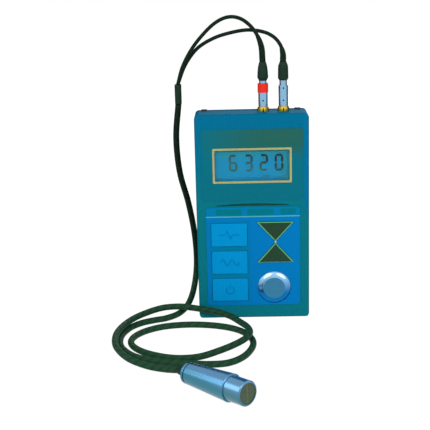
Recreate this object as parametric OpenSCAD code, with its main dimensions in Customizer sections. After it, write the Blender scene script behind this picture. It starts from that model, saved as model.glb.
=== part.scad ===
// Hand-held ultrasonic thickness gauge: a two-shell case that stands on its lower end,
// with a display, membrane keys, a steel reference disc and a twin-crystal probe on a cable.
// Millimetres. The origin is the middle of the case's lower end, the face looks towards -Y
// and +Z is up. The probe and the loops of its cable lie on the surface that the case stands on.

/* [Case] */
// Width of the case
case_w = 68; // [66:0.5:74]
// Depth of the case from face to back
case_d = 23; // [22.5:0.5:27]
// Height of the case
case_h = 127; // [126.5:0.5:137]
// Radius of the case's corners seen from the front
case_corner_r = 3; // [2:0.25:4]
// Rounding along the front and back edges
case_edge_r = 1.6; // [0.8:0.2:2]
// Thickness of both shells' walls
case_wall = 1.6; // [1.4:0.1:1.8]
// Depth of the front shell, from the face to the parting line
front_shell_d = 16; // [15:0.5:17]
// Height of the rear shell's lip inside the front shell
lip_h = 2; // [1:0.25:3]
// Thickness of that lip
lip_t = 0.8; // [0.6:0.1:1]
// Width and depth of the groove along the parting line
seam_w = 0.5; // [0.3:0.1:0.6]
// Distance of the screw bosses from the case's sides
boss_inset = 5.8; // [5.6:0.1:6.5]
// Diameter of the screw bosses
boss_d = 5.4; // [5:0.1:5.6]

/* [Display] */
// Width of the printed label round the display
label_w = 60.6; // [56:0.2:62]
// Height of that label
label_h = 43.5; // [42:0.1:44]
// Thickness of the label, which lies flush in its recess
label_t = 0.4; // [0.3:0.1:0.6]
// Distance from the case's top to the label
label_drop = 8.9; // [8:0.1:9.5]
// Space between the label and the keypad panel under it
label_space = 3.9; // [3.4:0.1:5]
// Width of the visible display
display_w = 44.8; // [40:0.2:46]
// Height of the visible display
display_h = 18.8; // [16:0.2:20]
// Distance from the label's top to the visible display
display_drop = 12.5; // [11.5:0.1:13]
// Width of the frame round the display
frame_w = 1.2; // [0.8:0.1:1.6]
// Height of that frame above the label
frame_t = 0.3; // [0.2:0.1:0.5]
// How far the clear window reaches behind the label on each side
window_lip = 0.9; // [0.6:0.1:1.2]
// Thickness of the liquid crystal cell
lcd_t = 2.4; // [2:0.1:2.8]
// How far the liquid crystal cell reaches past the visible display
lcd_margin = 1.2; // [1:0.1:1.4]
// Wall of the holder round the liquid crystal cell
holder_wall = 0.9; // [0.7:0.1:1]

/* [Keypad] */
// Width of the keypad panel
pad_w = 56.8; // [56:0.2:60]
// Thickness of the keypad panel
pad_t = 0.8; // [0.6:0.1:1]
// How far the keypad panel stands proud of the face
pad_proud = 0.2; // [0.1:0.05:0.3]
// Corner radius of the keypad panel
pad_r = 2; // [1:0.25:3]
// Distance from the case's lower end to the keypad panel
pad_z = 8.6; // [8:0.1:9.5]
// Width of the three rectangular keys
key_w = 21.8; // [20:0.1:22]
// Space between two rectangular keys
key_space = 3.1; // [2.8:0.1:3.6]
// Distance of the rectangular keys' middle left of the case's middle
key_offset = 14.5; // [14.2:0.1:15]
// Space between the panel's lower edge and the lowest key
key_foot = 2.8; // [2.6:0.1:3.2]
// Space between the highest key and the panel's upper edge
key_head = 9.9; // [9.4:0.1:10.5]
// Corner radius of the rectangular keys
key_r = 0.8; // [0.4:0.1:1.5]
// Width of the triangular keys
arrow_w = 22.2; // [20:0.1:22.6]
// Space between the upper triangle and the panel's upper edge
arrow_head = 9.3; // [8.8:0.1:10]
// Space between the disc and the lower triangle
arrow_foot = 6.2; // [5.8:0.1:7]
// Distance between the two triangles' tips
arrow_gap = 1; // [0.9:0.1:2]
// Distance of the triangles' tips right of the case's middle
arrow_offset = 13.5; // [13:0.1:14]
// How far the keys stand proud of the panel
key_proud = 0.4; // [0.2:0.05:0.8]
// Travel of a key
key_travel = 0.5; // [0.3:0.05:0.6]
// Gap round each key in its window
key_gap = 0.2; // [0.15:0.01:0.25]
// How far each key's retaining lip reaches behind the case's face
key_lip = 0.8; // [0.6:0.05:1]
// Thickness of that lip
key_lip_t = 0.6; // [0.5:0.05:0.7]

/* [Reference disc] */
// Diameter of the reference disc
disc_d = 20; // [19:0.2:20.4]
// Diameter of the disc's flat top
disc_flat_d = 13.2; // [12:0.2:16]
// Thickness of the disc at its middle
disc_t = 4.6; // [4:0.1:5]
// How far the disc stands proud of the keypad panel
disc_proud = 1.5; // [1:0.1:1.8]
// Distance of the disc's middle right of the case's middle
disc_offset = 12.5; // [12.2:0.1:13.5]
// Height of the disc's middle above the panel's lower edge
disc_rise = 11.2; // [11:0.1:12]
// Wall and floor of the cup that holds the disc
cup_wall = 1; // [0.8:0.1:1.2]

/* [Batteries] */
// Diameter of a cell
cell_d = 14.5; // [13.5:0.1:14.6]
// Length of a cell with its tip
cell_l = 50.5; // [48:0.1:51]
// Compressed length of a battery spring
spring_l = 8; // [6:0.25:8.5]
// Thickness of the battery contact plates
contact_t = 0.4; // [0.3:0.05:0.5]
// Wall and floor of the battery tray
tray_wall = 0.8; // [0.6:0.05:0.9]
// Height of the case's strip above and below the door
door_strip = 2.4; // [2.2:0.1:3]
// Gap round the battery door
door_gap = 0.25; // [0.15:0.05:0.4]

/* [Plugs] */
// Distance between the two sockets
socket_pitch = 12.1; // [11:0.1:13]
// Distance of the left socket right of the case's middle
socket_offset = 7.3; // [6:0.1:8.5]
// Height of a socket above the case's top
socket_h = 2.9; // [2.6:0.1:3.1]
// Diameter of a socket's ring
socket_d = 6.9; // [6.8:0.1:8]
// Diameter of a plug's body
plug_d = 4.4; // [4.2:0.1:4.5]
// Outer diameter of a plug's release sleeve
sleeve_d = 5.6; // [5.4:0.05:5.8]
// Length of a release sleeve
sleeve_l = 12.2; // [11.5:0.1:12.4]
// Travel of a release sleeve
sleeve_travel = 1.2; // [0.8:0.1:1.3]
// Height of the boots' lower ends above the case's top
boot_rise = 18.3; // [18.1:0.1:18.7]
// Largest diameter of a boot
boot_d = 6.5; // [6.2:0.1:6.6]
// Wall of the coloured marker ring on the left plug
ring_t = 0.3; // [0.2:0.05:0.4]
// Length of that ring
ring_l = 5.4; // [4:0.2:5.6]

/* [Probe] */
// Length of the probe's barrel
barrel_l = 34; // [30:0.5:40]
// Rear diameter of the barrel
barrel_rear_d = 11.4; // [11:0.1:12]
// Front diameter of the barrel
barrel_front_d = 14.8; // [14.2:0.1:16]
// Length of the probe's nose
nose_l = 11; // [9:0.5:13]
// Diameter of the probe's nose
nose_d = 13.2; // [12.6:0.1:13.6]
// Wall of the nose's rim
nose_wall = 1.1; // [0.9:0.1:1.4]
// Thickness of the sound barrier between the two delay blocks
barrier_t = 0.7; // [0.5:0.1:1]

/* [Hidden] */
$fn = 48;

// Clearances
fit_gap = 0.1;
touch_gap = 0.05;
thread_gap = 0.05;
cut = 1;
lip_min_r = 0.2;

// Planes of the case
face_y = -case_d / 2;
back_y = case_d / 2;
part_y = face_y + front_shell_d;
inner_face_y = face_y + case_wall;
inner_back_y = back_y - case_wall;
cavity_r = case_corner_r - case_wall / 2;
boss_xs = [-case_w / 2 + boss_inset, case_w / 2 - boss_inset];
boss_zs = [boss_inset, case_h - boss_inset];

// Case screws, driven in from the back
screw_d = 2.5;
screw_head_d = 4.2;
screw_head_t = 1.6;
screw_l = 14;
screw_sink = 2;
screw_slot_w = 0.7;
screw_slot_t = 0.6;
screw_seat_y = back_y - screw_sink;
top_screw_d = 2;
top_screw_head_d = 3.6;
top_screw_head_t = 0.7;
top_screw_l = 3.2;
top_screw_y = (part_y + inner_back_y) / 2;

// Display stack
label_z1 = case_h - label_drop;
label_mid_z = label_z1 - label_h / 2;
display_mid_z = label_z1 - display_drop - display_h / 2;
window_w = display_w + 2 * window_lip;
window_h = display_h + 2 * window_lip;
lcd_w = display_w + 2 * lcd_margin;
lcd_h = display_h + 2 * lcd_margin;
holder_w = lcd_w + 2 * fit_gap + 2 * holder_wall;
holder_h = lcd_h + 2 * fit_gap + 2 * holder_wall;
strip_t = 1.3;
strip_h = 1.8;
board_t = 1.2;
board_y = inner_face_y + lcd_t + strip_t;
strip_inset = 2;
board_w = case_w - 2 * boss_inset - boss_d - 4 * fit_gap;
board_drop = 2;
board_z1 = case_h - case_wall - lip_t - board_drop;
post_d = 3.2;
post_inset = 0.4;
post_rise = 0.8;
post_drop = 1;
holder_room = 1;
low_post_z = display_mid_z - holder_h / 2 - holder_room - post_d / 2;
board_z0 = low_post_z - post_d / 2 - post_rise;
post_xs = [-board_w / 2 + post_d / 2 + post_inset, board_w / 2 - post_d / 2 - post_inset];
post_zs = [low_post_z, board_z1 - post_d / 2 - post_drop];
board_screw_d = 2;
board_screw_head_d = 3.2;
board_screw_head_t = 1.1;
board_screw_bite = 1.8;
keypad_screw_bite = 1;
screw_hole_spare = 0.2;
label_r = 1;
display_r = 0.6;

// Parts on the main board
chip_s = 14;
chip_t = 1.6;
driver_w = 12;
driver_h = 7;
driver_t = 1.4;
quartz_w = 11;
quartz_h = 4.4;
quartz_r = 2;
quartz_t = 3.4;
capacitor_d = 5;
capacitor_l = 6;
capacitor_pitch = 7;
link_w = 20;

// Notch in the face between the label and the keypad panel
notch_w = 44;
notch_h = 1.5;
notch_end_h = 0.4;
notch_t = 0.7;
notch_rise = 0.8;
pad_z1 = label_z1 - label_h - label_space;
pad_h = pad_z1 - pad_z;
notch_z = pad_z1 + notch_rise;
notch_arch = notch_h - notch_end_h;
notch_r = (notch_w * notch_w / 4 + notch_arch * notch_arch) / (2 * notch_arch);

// Keypad stack
// The three keys and the two triangles fill the heights that are left for them
key_h = (pad_h - key_foot - key_head - 2 * key_space) / 3;
key_pitch = key_h + key_space;
disc_z = pad_z + disc_rise;
arrow_z0 = disc_z + disc_d / 2 + arrow_foot;
arrow_h = (pad_z1 - arrow_head - arrow_z0 - arrow_gap) / 2;
pad_mid_z = pad_z + pad_h / 2;
pad_y = face_y - pad_proud;
pad_floor_y = pad_y + pad_t;
key_front_y = pad_y - key_proud;
key_x = -key_offset;
key_z = pad_z + key_foot + key_h / 2;
arrow_x = arrow_offset;
arrow_z = arrow_z0 + arrow_h + arrow_gap / 2;
key_edge_r = 0.35;
stem_d = 5;
stem_l = 0.5;
dome_h = 0.3;
dome_d = 8;
dome_top_d = 5;
key_lip_y = inner_face_y + fit_gap;
stem_end_y = key_lip_y + key_lip_t + stem_l;
keypad_board_y = stem_end_y + key_travel + touch_gap + dome_h;
keypad_board_t = 0.8;
keypad_board_w = board_w;
keypad_board_drop = 2.8;
board_overlap = 2.2;
keypad_board_z0 = pad_z - keypad_board_drop;
keypad_board_z1 = board_z0 + board_overlap;
low_post_drop = 1;
high_post_drop = 3.7;
keypad_post_zs = [pad_z - low_post_drop, pad_z1 - high_post_drop];
stem_share = 0.62;
arrow_tip_room = 1.4;

// Reference disc and its cup
disc_x = disc_offset;
disc_front_y = pad_y - disc_proud;
disc_back_y = disc_front_y + disc_t;
disc_gap = 0.15;
cup_d = disc_d + 2 * disc_gap + 2 * cup_wall;
disc_rim_w = (disc_d - disc_flat_d) / 2;
disc_rim_r = (disc_rim_w * disc_rim_w + disc_proud * disc_proud) / (2 * disc_proud);

// Battery bay
cell_gap = 0.4;
cell_x = (cell_d + cell_gap) / 2;
tray_in_w = 2 * cell_d + 3 * cell_gap;
tray_in_l = cell_l + spring_l + 2 * contact_t + 2 * fit_gap;
tray_z0 = 6.5;
tray_z1 = tray_z0 + tray_in_l;
tray_y = keypad_board_y + keypad_board_t + touch_gap;
cell_y = tray_y + tray_wall + fit_gap + cell_d / 2;
cell_tip_d = 5.4;
cell_tip_l = 1.2;
cell_round = 1;
contact_margin = 1;
door_w = tray_in_w - 2 * door_gap;
door_z0 = tray_z0 + door_strip + door_gap;
door_z1 = tray_z1 - door_strip - door_gap;
door_t = case_wall;
hook_w = 4;
hook_t = 0.9;
hook_reach = 1.6;
hook_root = 2.4;
latch_w = 9;
latch_t = 1.2;
latch_depth = 1.9;
latch_inset = 0.3;
latch_play = 0.15;
latch_nib = door_gap - latch_play;
hook_inset = 0.6;
door_r = 0.6;
grip_rise = 4;
grip_ribs = 5;
grip_pitch = 2;
grip_w = 16;
grip_h = 0.9;
grip_t = 0.35;
spring_wire = 0.7;
spring_base_r = 4.2;
spring_tip_r = 2.6;
spring_turns = 4;

// Sockets and plugs
socket_xs = [socket_offset, socket_offset + socket_pitch];
socket_wall = 0.6;
socket_ring_h = 1.8;
plug_step = 0.2;
nose_plug_d = plug_d - 2 * plug_step;
socket_bore_d = nose_plug_d + 2 * fit_gap;
socket_shank_d = socket_bore_d + 2 * socket_wall;
socket_lip = 0.5;
socket_top_d = socket_shank_d + 2 * socket_lip;
socket_depth = 7;
socket_floor = 1;
pin_d = 1.2;
pin_l = 3;
nut_w = 8;
nut_t = 1.8;
plug_z0 = case_h - socket_depth + socket_floor;
sleeve_gap = 0.3;
sleeve_z = case_h + socket_h + sleeve_gap;
boot_z = case_h + boot_rise;
boot_l = 11;
boot_tail_l = 4;
boot_tail_d = 3;
// Outlines of the boots: share of the length, share of the largest diameter
boot_left_outline = [[0, 0.72], [0.17, 1], [0.5, 0.94], [0.74, 0.84], [0.9, 0.72], [1, 0.6]];
boot_right_outline = [[0, 0.74], [0.1, 0.96], [0.62, 0.93], [0.77, 0.89], [0.9, 0.74], [1, 0.6]];
ring_gap = 0.4;
dimple_d = 1;
dimple_t = 0.25;
dimples = 6;
dimple_low = 3.4;
dimple_high = 1.6;
dimple_rises = [dimple_low, sleeve_l - dimple_high];

// Cable routes: points chosen along the photographed cable
lead_d = 2.2;
cable_d = 3.8;
yoke_l = 11.5;
yoke_x = -43.8;
yoke_y = 9;
yoke_z = 131.5;
yoke_wall = 0.9;
lead_split = lead_d / 2 + touch_gap;
lead_left_route = [
    [socket_xs[0], 0, boot_z + boot_l], [6.5, -0.5, 166], [2.6, -1.5, 174.8], [-4.3, -1, 181.2],
    [-12, 1, 182.8], [-20, 3, 179.6], [-28, 5, 172.4], [-35, 6.5, 163.7], [-40.6, 7.4, 153.5],
    [yoke_x, yoke_y - lead_split, yoke_z + yoke_l]
];
lead_right_route = [
    [socket_xs[1], 0, boot_z + boot_l], [19.3, 0.2, 161.2], [17.7, 0.7, 166.3], [13.9, 1.5, 170.7],
    [8, 2.5, 173.6], [-1, 4, 174.8], [-11, 5.6, 173.4], [-21.5, 7.2, 170.2], [-31.5, 8.8, 164.2],
    [-39, 10, 154.5], [yoke_x, yoke_y + lead_split, yoke_z + yoke_l]
];
cable_route = [
    [yoke_x, yoke_y, yoke_z], [-46, 11, 110], [-44.6, 12.5, 88], [-40, 14.5, 68],
    [-36.7, 15.5, 47], [-35.9, 14.7, 28], [-37.8, 10.5, 13.5], [-41, 1, 6.2], [-46, -8.5, 3.2],
    [-53.6, -14.7, 2.1], [-61.8, -18.4, 2], [-69.3, -23, 2], [-75.4, -31, 2], [-79, -44, 2],
    [-77.6, -59.5, 2], [-70.5, -72.5, 2], [-61, -80, 2], [-49.5, -84, 2], [-38, -86, 2],
    [-26.3, -87.6, 2], [-16, -86, 2], [-8, -78.5, 2], [-3, -67, 2], [-1.7, -55.5, 2], [-5, -44, 2],
    [-12.5, -35, 2], [-24.4, -29.1, 2], [-39.6, -26.8, 2], [-54.5, -29.3, 2], [-65.5, -36.5, 2],
    [-71.5, -46, 2], [-72, -56, 2], [-66.5, -66, 2], [-56.5, -74, 2], [-44.5, -78.4, 2],
    [-32, -78.2, 2.6], [-20.4, -74.3, 4.6], [-11.6, -68.6, 6], [-5.8, -60.7, 6.3], [-3.4, -51.8, 6.2],
    [-4.8, -42.5, 6], [-9, -33, 5.6], [-14.8, -23.2, 5.6], [-22.5, -16.8, 6], [-31, -14.1, 6.9],
    [-38.5, -13.2, 7.9], [-46.5, -12, 8.4], [-56.5, -12.2, 7.8], [-66.2, -17.2, 6.6],
    [-74.5, -27.9, 6.2], [-80, -43.5, 6.1], [-81, -57.5, 5.9], [-78.3, -70.5, 5.2],
    [-70.8, -81.6, 3.6], [-60.3, -89.6, 2.7], [-50, -95.4, 3.1]
];
cable_sides = 10;
lead_sides = 8;
cable_steps = 2;
lead_steps = 1;

// Probe, lying with the side of its barrel on the surface
probe_x = -37.3;
probe_y = -106.6;
probe_yaw = -45.5;
barrel_rear_r = barrel_rear_d / 2;
barrel_front_r = barrel_front_d / 2;
probe_lift = atan((barrel_front_r - barrel_rear_r) / barrel_l);
barrel_round = 1;
barrel_chamfer = 0.5;
nose_chamfer = 0.4;
gland_collar = 1.5;
gland_tip_wall = 0.4;
barrel_groove_w = 0.8;
barrel_groove_t = 0.35;
barrel_groove_s = 2.6;
nose_seat_l = 4;
nose_floor_t = 1;
probe_bore_r = nose_d / 2 - nose_wall;
barrel_wall = 1.3;
barrel_bore_r = barrel_rear_r - barrel_wall;
spigot_wall = 0.9;
spigot_bore_r = barrel_bore_r - touch_gap - spigot_wall;
rear_wall = 4;
face_sink = 0.3;
crystal_t = 0.6;
damping_l = 9;
gland_l = 6;
gland_seat_l = 2;
gland_d = 6;
gland_tip_d = cable_d + 2 * gland_tip_wall;
probe_l = barrel_l + nose_l;

// Extrudes a shape drawn in x and z from one depth to another
module slab(y0, y1) {
    translate([0, y1, 0]) rotate([90, 0, 0]) linear_extrude(y1 - y0) children();
}

// Rectangle with round corners, centred
module round_rect(w, h, r) {
    square([w - 2 * r, h], center = true);
    square([w, h - 2 * r], center = true);
    for (x = [-1, 1], y = [-1, 1]) translate([x * (w / 2 - r), y * (h / 2 - r)]) circle(r);
}

// Block with round corners seen from the front and rounded front and back edges
module pillow(w, h, y0, y1, corner_r, edge_r) {
    intersection() {
        slab(y0, y1) round_rect(w, h, corner_r);
        translate([0, (y0 + y1) / 2, -h / 2]) linear_extrude(h) round_rect(w, y1 - y0, edge_r);
        translate([-w / 2, (y0 + y1) / 2, 0]) rotate([90, 0, 90]) linear_extrude(w)
            round_rect(y1 - y0, h, edge_r);
    }
}

// Cylinder along the depth of the case
module rod_y(d, y0, y1) {
    slab(y0, y1) circle(d = d);
}

// Copies at each of the case's four screw bosses
module at_bosses() {
    for (x = boss_xs, z = boss_zs) translate([x, 0, z]) children();
}

// Copies at the posts that carry the main board
module at_board_posts() {
    for (x = post_xs, z = post_zs) translate([x, 0, z]) children();
}

// Copies at the posts that carry the keypad board
module at_keypad_posts() {
    for (z = keypad_post_zs) translate([post_xs[0], 0, z]) children();
    translate([post_xs[1], 0, keypad_post_zs[1]]) children();
}

// Whole outer form of the case
module case_block() {
    translate([0, 0, case_h / 2]) pillow(case_w, case_h, face_y, back_y, case_corner_r, case_edge_r);
}

// Space inside both shells
module case_cavity() {
    slab(inner_face_y, inner_back_y) translate([0, case_h / 2])
        round_rect(case_w - 2 * case_wall, case_h - 2 * case_wall, cavity_r);
}

// Outline of the ring inside the case's walls, narrowed by a gap
module lip_outline(gap) {
    translate([0, case_h / 2])
        round_rect(case_w - 2 * case_wall - 2 * gap, case_h - 2 * case_wall - 2 * gap,
            max(cavity_r - gap, lip_min_r));
}

// Triangle key pointing up, its tip at the origin, widened by a gap
function arrow_points(gap) =
    let (side = norm([arrow_w / 2, arrow_h]),
         inner_r = arrow_w * arrow_h / (arrow_w + 2 * side),
         grow = (inner_r + gap) / inner_r,
         middle = [0, -arrow_h + inner_r])
    [for (p = [[0, 0], [-arrow_w / 2, -arrow_h], [arrow_w / 2, -arrow_h]]) middle + (p - middle) * grow];

module arrow_outline(gap) {
    polygon(arrow_points(gap));
}

// Places a triangle key's outline: turned is 1 for the upper key, which points down
module at_arrow(turned) {
    translate([arrow_x, arrow_z]) rotate(turned * 180) translate([0, -arrow_gap / 2]) children();
}

// Windows for the keys and the disc, in x and z
module key_windows() {
    for (i = [0 : 2]) translate([key_x, key_z + i * key_pitch])
        round_rect(key_w + 2 * key_gap, key_h + 2 * key_gap, key_r + key_gap);
    for (turned = [0, 1]) at_arrow(turned) arrow_outline(key_gap);
}

module front_case() {
    color([0.0, 0.42, 0.55]) difference() {
        union() {
            difference() {
                intersection() {
                    case_block();
                    slab(face_y, part_y) translate([0, case_h / 2]) square([case_w, case_h], center = true);
                }
                case_cavity();
            }
            at_bosses() rod_y(boss_d, face_y + case_wall / 2, part_y);
            at_board_posts() rod_y(post_d, face_y + case_wall / 2, board_y);
            at_keypad_posts() rod_y(post_d, face_y + case_wall / 2, keypad_board_y);
            translate([disc_x, 0, disc_z]) rod_y(cup_d, face_y + case_wall / 2, disc_back_y + cup_wall);
        }
        at_bosses() rod_y(screw_d + 2 * thread_gap, screw_seat_y - screw_l - fit_gap, back_y);
        at_board_posts()
            rod_y(board_screw_d + 2 * thread_gap, board_y - board_screw_bite - screw_hole_spare,
                board_y + cut);
        at_keypad_posts()
            rod_y(board_screw_d + 2 * thread_gap, keypad_board_y - keypad_screw_bite - screw_hole_spare,
                keypad_board_y + cut);
        translate([disc_x, 0, disc_z]) rod_y(disc_d + 2 * disc_gap, face_y - cut, disc_back_y);
        slab(face_y - cut, face_y + label_t) translate([0, label_mid_z])
            round_rect(label_w + 2 * touch_gap, label_h + 2 * touch_gap, label_r);
        slab(face_y, inner_face_y + cut / 2) translate([0, display_mid_z])
            round_rect(window_w + 2 * fit_gap, window_h + 2 * fit_gap, display_r);
        slab(face_y - cut, pad_floor_y) translate([0, pad_mid_z])
            round_rect(pad_w + 2 * touch_gap, pad_h + 2 * touch_gap, pad_r);
        slab(face_y, inner_face_y + cut / 2) key_windows();
        slab(face_y - cut, face_y + notch_t) intersection() {
            translate([0, notch_z + notch_h - notch_r]) circle(notch_r, $fn = 96);
            translate([-notch_w / 2, notch_z]) square([notch_w, notch_h]);
        }
        for (x = socket_xs) translate([x, 0, case_h - case_wall - cut])
            cylinder(d = socket_shank_d + 2 * fit_gap, h = case_wall + 2 * cut);
        // Groove along the parting line
        slab(part_y - seam_w, part_y + cut) translate([0, case_h / 2]) difference() {
            square([case_w + cut, case_h + cut], center = true);
            round_rect(case_w - 2 * seam_w, case_h - 2 * seam_w, case_corner_r - seam_w);
        }
    }
}

module rear_case() {
    color([0.0, 0.42, 0.55]) difference() {
        union() {
            difference() {
                intersection() {
                    case_block();
                    slab(part_y, back_y) translate([0, case_h / 2]) square([case_w, case_h], center = true);
                }
                case_cavity();
            }
            difference() {
                union() {
                    slab(part_y - lip_h, part_y + lip_h) lip_outline(fit_gap);
                    slab(part_y, part_y + lip_h) lip_outline(-case_wall / 4);
                }
                slab(part_y - lip_h - cut, part_y + lip_h + cut) lip_outline(fit_gap + lip_t);
            }
            at_bosses() rod_y(boss_d, part_y, back_y - case_wall / 2);
        }
        at_bosses() rod_y(screw_d + 2 * fit_gap, part_y - cut, back_y);
        at_bosses() rod_y(screw_head_d + 2 * fit_gap, screw_seat_y, back_y + cut);
        slab(inner_back_y - cut, back_y + cut) translate([0, (door_z0 + door_z1) / 2])
            square([door_w + 2 * door_gap, door_z1 - door_z0 + 2 * door_gap], center = true);
        for (x = boss_xs) translate([x, top_screw_y, case_h - top_screw_l - fit_gap])
            cylinder(d = top_screw_d + 2 * fit_gap, h = top_screw_l + fit_gap + cut);
        // Room in the lip for the sockets' nuts
        for (x = socket_xs)
            translate([x - nut_w / 2 - fit_gap, part_y - lip_h - cut, case_h - case_wall - nut_t - fit_gap])
                cube([nut_w + 2 * fit_gap, lip_h + cut, nut_t + 2 * fit_gap]);
    }
}

module battery_door() {
    door_mid_z = (door_z0 + door_z1) / 2;
    color([0.0, 0.38, 0.50]) {
        slab(back_y - door_t, back_y) translate([0, door_mid_z])
            round_rect(door_w, door_z1 - door_z0, door_r);
        // Hooks that reach behind the case above the door
        for (x = [-1, 1]) translate([x * (door_w / 2 - hook_w / 2 - hook_inset), 0, 0]) {
            slab(inner_back_y - hook_t - fit_gap, inner_back_y - fit_gap)
                translate([-hook_w / 2, door_z1 - hook_root]) square([hook_w, hook_root + hook_reach]);
            slab(inner_back_y - hook_t - fit_gap, back_y - door_t / 2)
                translate([-hook_w / 2, door_z1 - hook_root]) square([hook_w, hook_root - door_gap]);
        }
        // Spring latch at the lower edge
        slab(inner_back_y - latch_depth, back_y - door_t / 2)
            translate([-latch_w / 2, door_z0 + latch_inset]) square([latch_w, latch_t]);
        slab(inner_back_y - latch_depth, inner_back_y - fit_gap)
            translate([-latch_w / 2, door_z0 - latch_nib])
                square([latch_w, latch_nib + latch_inset + latch_t / 2]);
        // Thumb ribs
        for (i = [0 : grip_ribs - 1])
            slab(back_y - door_t / 2, back_y + grip_t)
                translate([-grip_w / 2, door_z0 + grip_rise + i * grip_pitch]) square([grip_w, grip_h]);
    }
}

module battery_tray() {
    color([0.12, 0.12, 0.13]) difference() {
        slab(tray_y, inner_back_y)
            translate([-tray_in_w / 2 - tray_wall, tray_z0 - tray_wall])
                square([tray_in_w + 2 * tray_wall, tray_in_l + 2 * tray_wall]);
        slab(tray_y + tray_wall, inner_back_y + cut)
            translate([-tray_in_w / 2, tray_z0]) square([tray_in_w, tray_in_l]);
    }
}

// One cell, standing on its flat end
module cell() {
    body_l = cell_l - cell_tip_l;
    rotate_extrude() {
        square([cell_d / 2, body_l - cell_round]);
        square([cell_d / 2 - cell_round, body_l]);
        translate([cell_d / 2 - cell_round, body_l - cell_round]) intersection() {
            circle(cell_round);
            square(cell_round);
        }
        square([cell_tip_d / 2, cell_l]);
    }
}

module cell_left() {
    color([0.75, 0.75, 0.72]) translate([-cell_x, cell_y, tray_z1 - contact_t - fit_gap - cell_l]) cell();
}

module cell_right() {
    color([0.75, 0.75, 0.72]) translate([cell_x, cell_y, tray_z0 + contact_t + fit_gap + cell_l])
        rotate([180, 0, 0]) cell();
}

// Conical coil spring standing on its wide end
module coil_spring() {
    per_turn = 12;
    sides = 6;
    rings = spring_turns * per_turn + 1;
    rise = spring_l - spring_wire - 2 * touch_gap;
    wire_r = spring_wire / 2;
    points = [for (k = [0 : rings - 1], s = [0 : sides - 1])
        let (u = k / (rings - 1),
             turn = u * spring_turns * 360,
             r = spring_base_r + (spring_tip_r - spring_base_r) * u + wire_r * cos(s * 360 / sides))
        [r * cos(turn), r * sin(turn), wire_r + touch_gap + u * rise + wire_r * sin(s * 360 / sides)]];
    polyhedron(points, tube_faces(rings, sides));
}

module battery_springs() {
    color([0.85, 0.83, 0.78]) {
        translate([-cell_x, cell_y, tray_z0 + contact_t]) coil_spring();
        translate([cell_x, cell_y, tray_z1 - contact_t]) rotate([180, 0, 0]) coil_spring();
    }
}

module battery_contacts() {
    plate = 2 * (spring_base_r + contact_margin);
    color([0.85, 0.83, 0.78]) {
        for (x = [-cell_x, cell_x]) translate([x - plate / 2, cell_y - plate / 2, tray_z0])
            cube([plate, plate, contact_t]);
        translate([-cell_x - plate / 2, cell_y - plate / 2, tray_z1 - contact_t])
            cube([2 * cell_x + plate, plate, contact_t]);
    }
}

// Slotted pan-head screw along +Z, its head's seat at the origin and its shank below
module screw(d, l, head_d, head_t) {
    difference() {
        union() {
            translate([0, 0, -l]) cylinder(d = d, h = l + head_t / 2);
            cylinder(d = head_d, h = head_t);
        }
        translate([-head_d, -screw_slot_w / 2, head_t - screw_slot_t])
            cube([2 * head_d, screw_slot_w, head_t]);
    }
}

module case_screws() {
    color([0.75, 0.76, 0.78]) at_bosses() translate([0, screw_seat_y, 0]) rotate([-90, 0, 0])
        screw(screw_d, screw_l, screw_head_d, screw_head_t);
}

module top_screws() {
    color([0.1, 0.1, 0.1]) for (x = boss_xs) translate([x, top_screw_y, case_h])
        screw(top_screw_d, top_screw_l, top_screw_head_d, top_screw_head_t);
}

module display_label() {
    color([0.05, 0.40, 0.45]) slab(face_y, face_y + label_t) difference() {
        translate([0, label_mid_z]) round_rect(label_w, label_h, label_r);
        translate([0, display_mid_z]) round_rect(display_w, display_h, display_r);
    }
}

module display_frame() {
    color([0.72, 0.68, 0.42]) slab(face_y - frame_t, face_y) translate([0, display_mid_z]) difference() {
        round_rect(display_w + 2 * frame_w, display_h + 2 * frame_w, display_r);
        round_rect(display_w, display_h, display_r);
    }
}

module display_window() {
    color([0.2, 0.6, 0.8, 0.4]) translate([0, 0, display_mid_z]) {
        slab(face_y + label_t, inner_face_y)
            round_rect(window_w, window_h, display_r);
        slab(face_y, face_y + 2 * label_t)
            round_rect(display_w - 2 * touch_gap, display_h - 2 * touch_gap, display_r);
    }
}

module lcd_cell() {
    color([0.2, 0.55, 0.7]) slab(inner_face_y, inner_face_y + lcd_t) translate([0, display_mid_z])
        square([lcd_w, lcd_h], center = true);
}

module lcd_holder() {
    color([0.15, 0.15, 0.16]) slab(inner_face_y, board_y) translate([0, display_mid_z]) difference() {
        square([holder_w, holder_h], center = true);
        square([lcd_w + 2 * fit_gap, lcd_h + 2 * fit_gap], center = true);
    }
}

module contact_strips() {
    color([0.9, 0.55, 0.55]) for (side = [-1, 1]) slab(inner_face_y + lcd_t, board_y)
        translate([0, display_mid_z + side * (lcd_h / 2 - strip_h)])
            square([lcd_w - 2 * strip_inset, strip_h], center = true);
}

module main_board() {
    color([0.05, 0.35, 0.15]) difference() {
        slab(board_y, board_y + board_t) translate([-board_w / 2, board_z0])
            square([board_w, board_z1 - board_z0]);
        at_board_posts() rod_y(board_screw_d + 2 * fit_gap, board_y - cut, board_y + board_t + cut);
    }
}

module board_parts() {
    parts_y = board_y + board_t;
    color([0.1, 0.1, 0.11]) {
        slab(parts_y, parts_y + chip_t) translate([-chip_s / 2, display_mid_z])
            square(chip_s, center = true);
        slab(parts_y, parts_y + driver_t) translate([driver_w, display_mid_z + driver_h])
            square([driver_w, driver_h], center = true);
        slab(parts_y, parts_y + quartz_t) translate([quartz_w, display_mid_z - quartz_h])
            round_rect(quartz_w, quartz_h, quartz_r);
        for (i = [-1 : 1]) translate([-chip_s - capacitor_d, 0, display_mid_z + i * capacitor_pitch])
            rod_y(capacitor_d, parts_y, parts_y + capacitor_l);
    }
}

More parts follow.
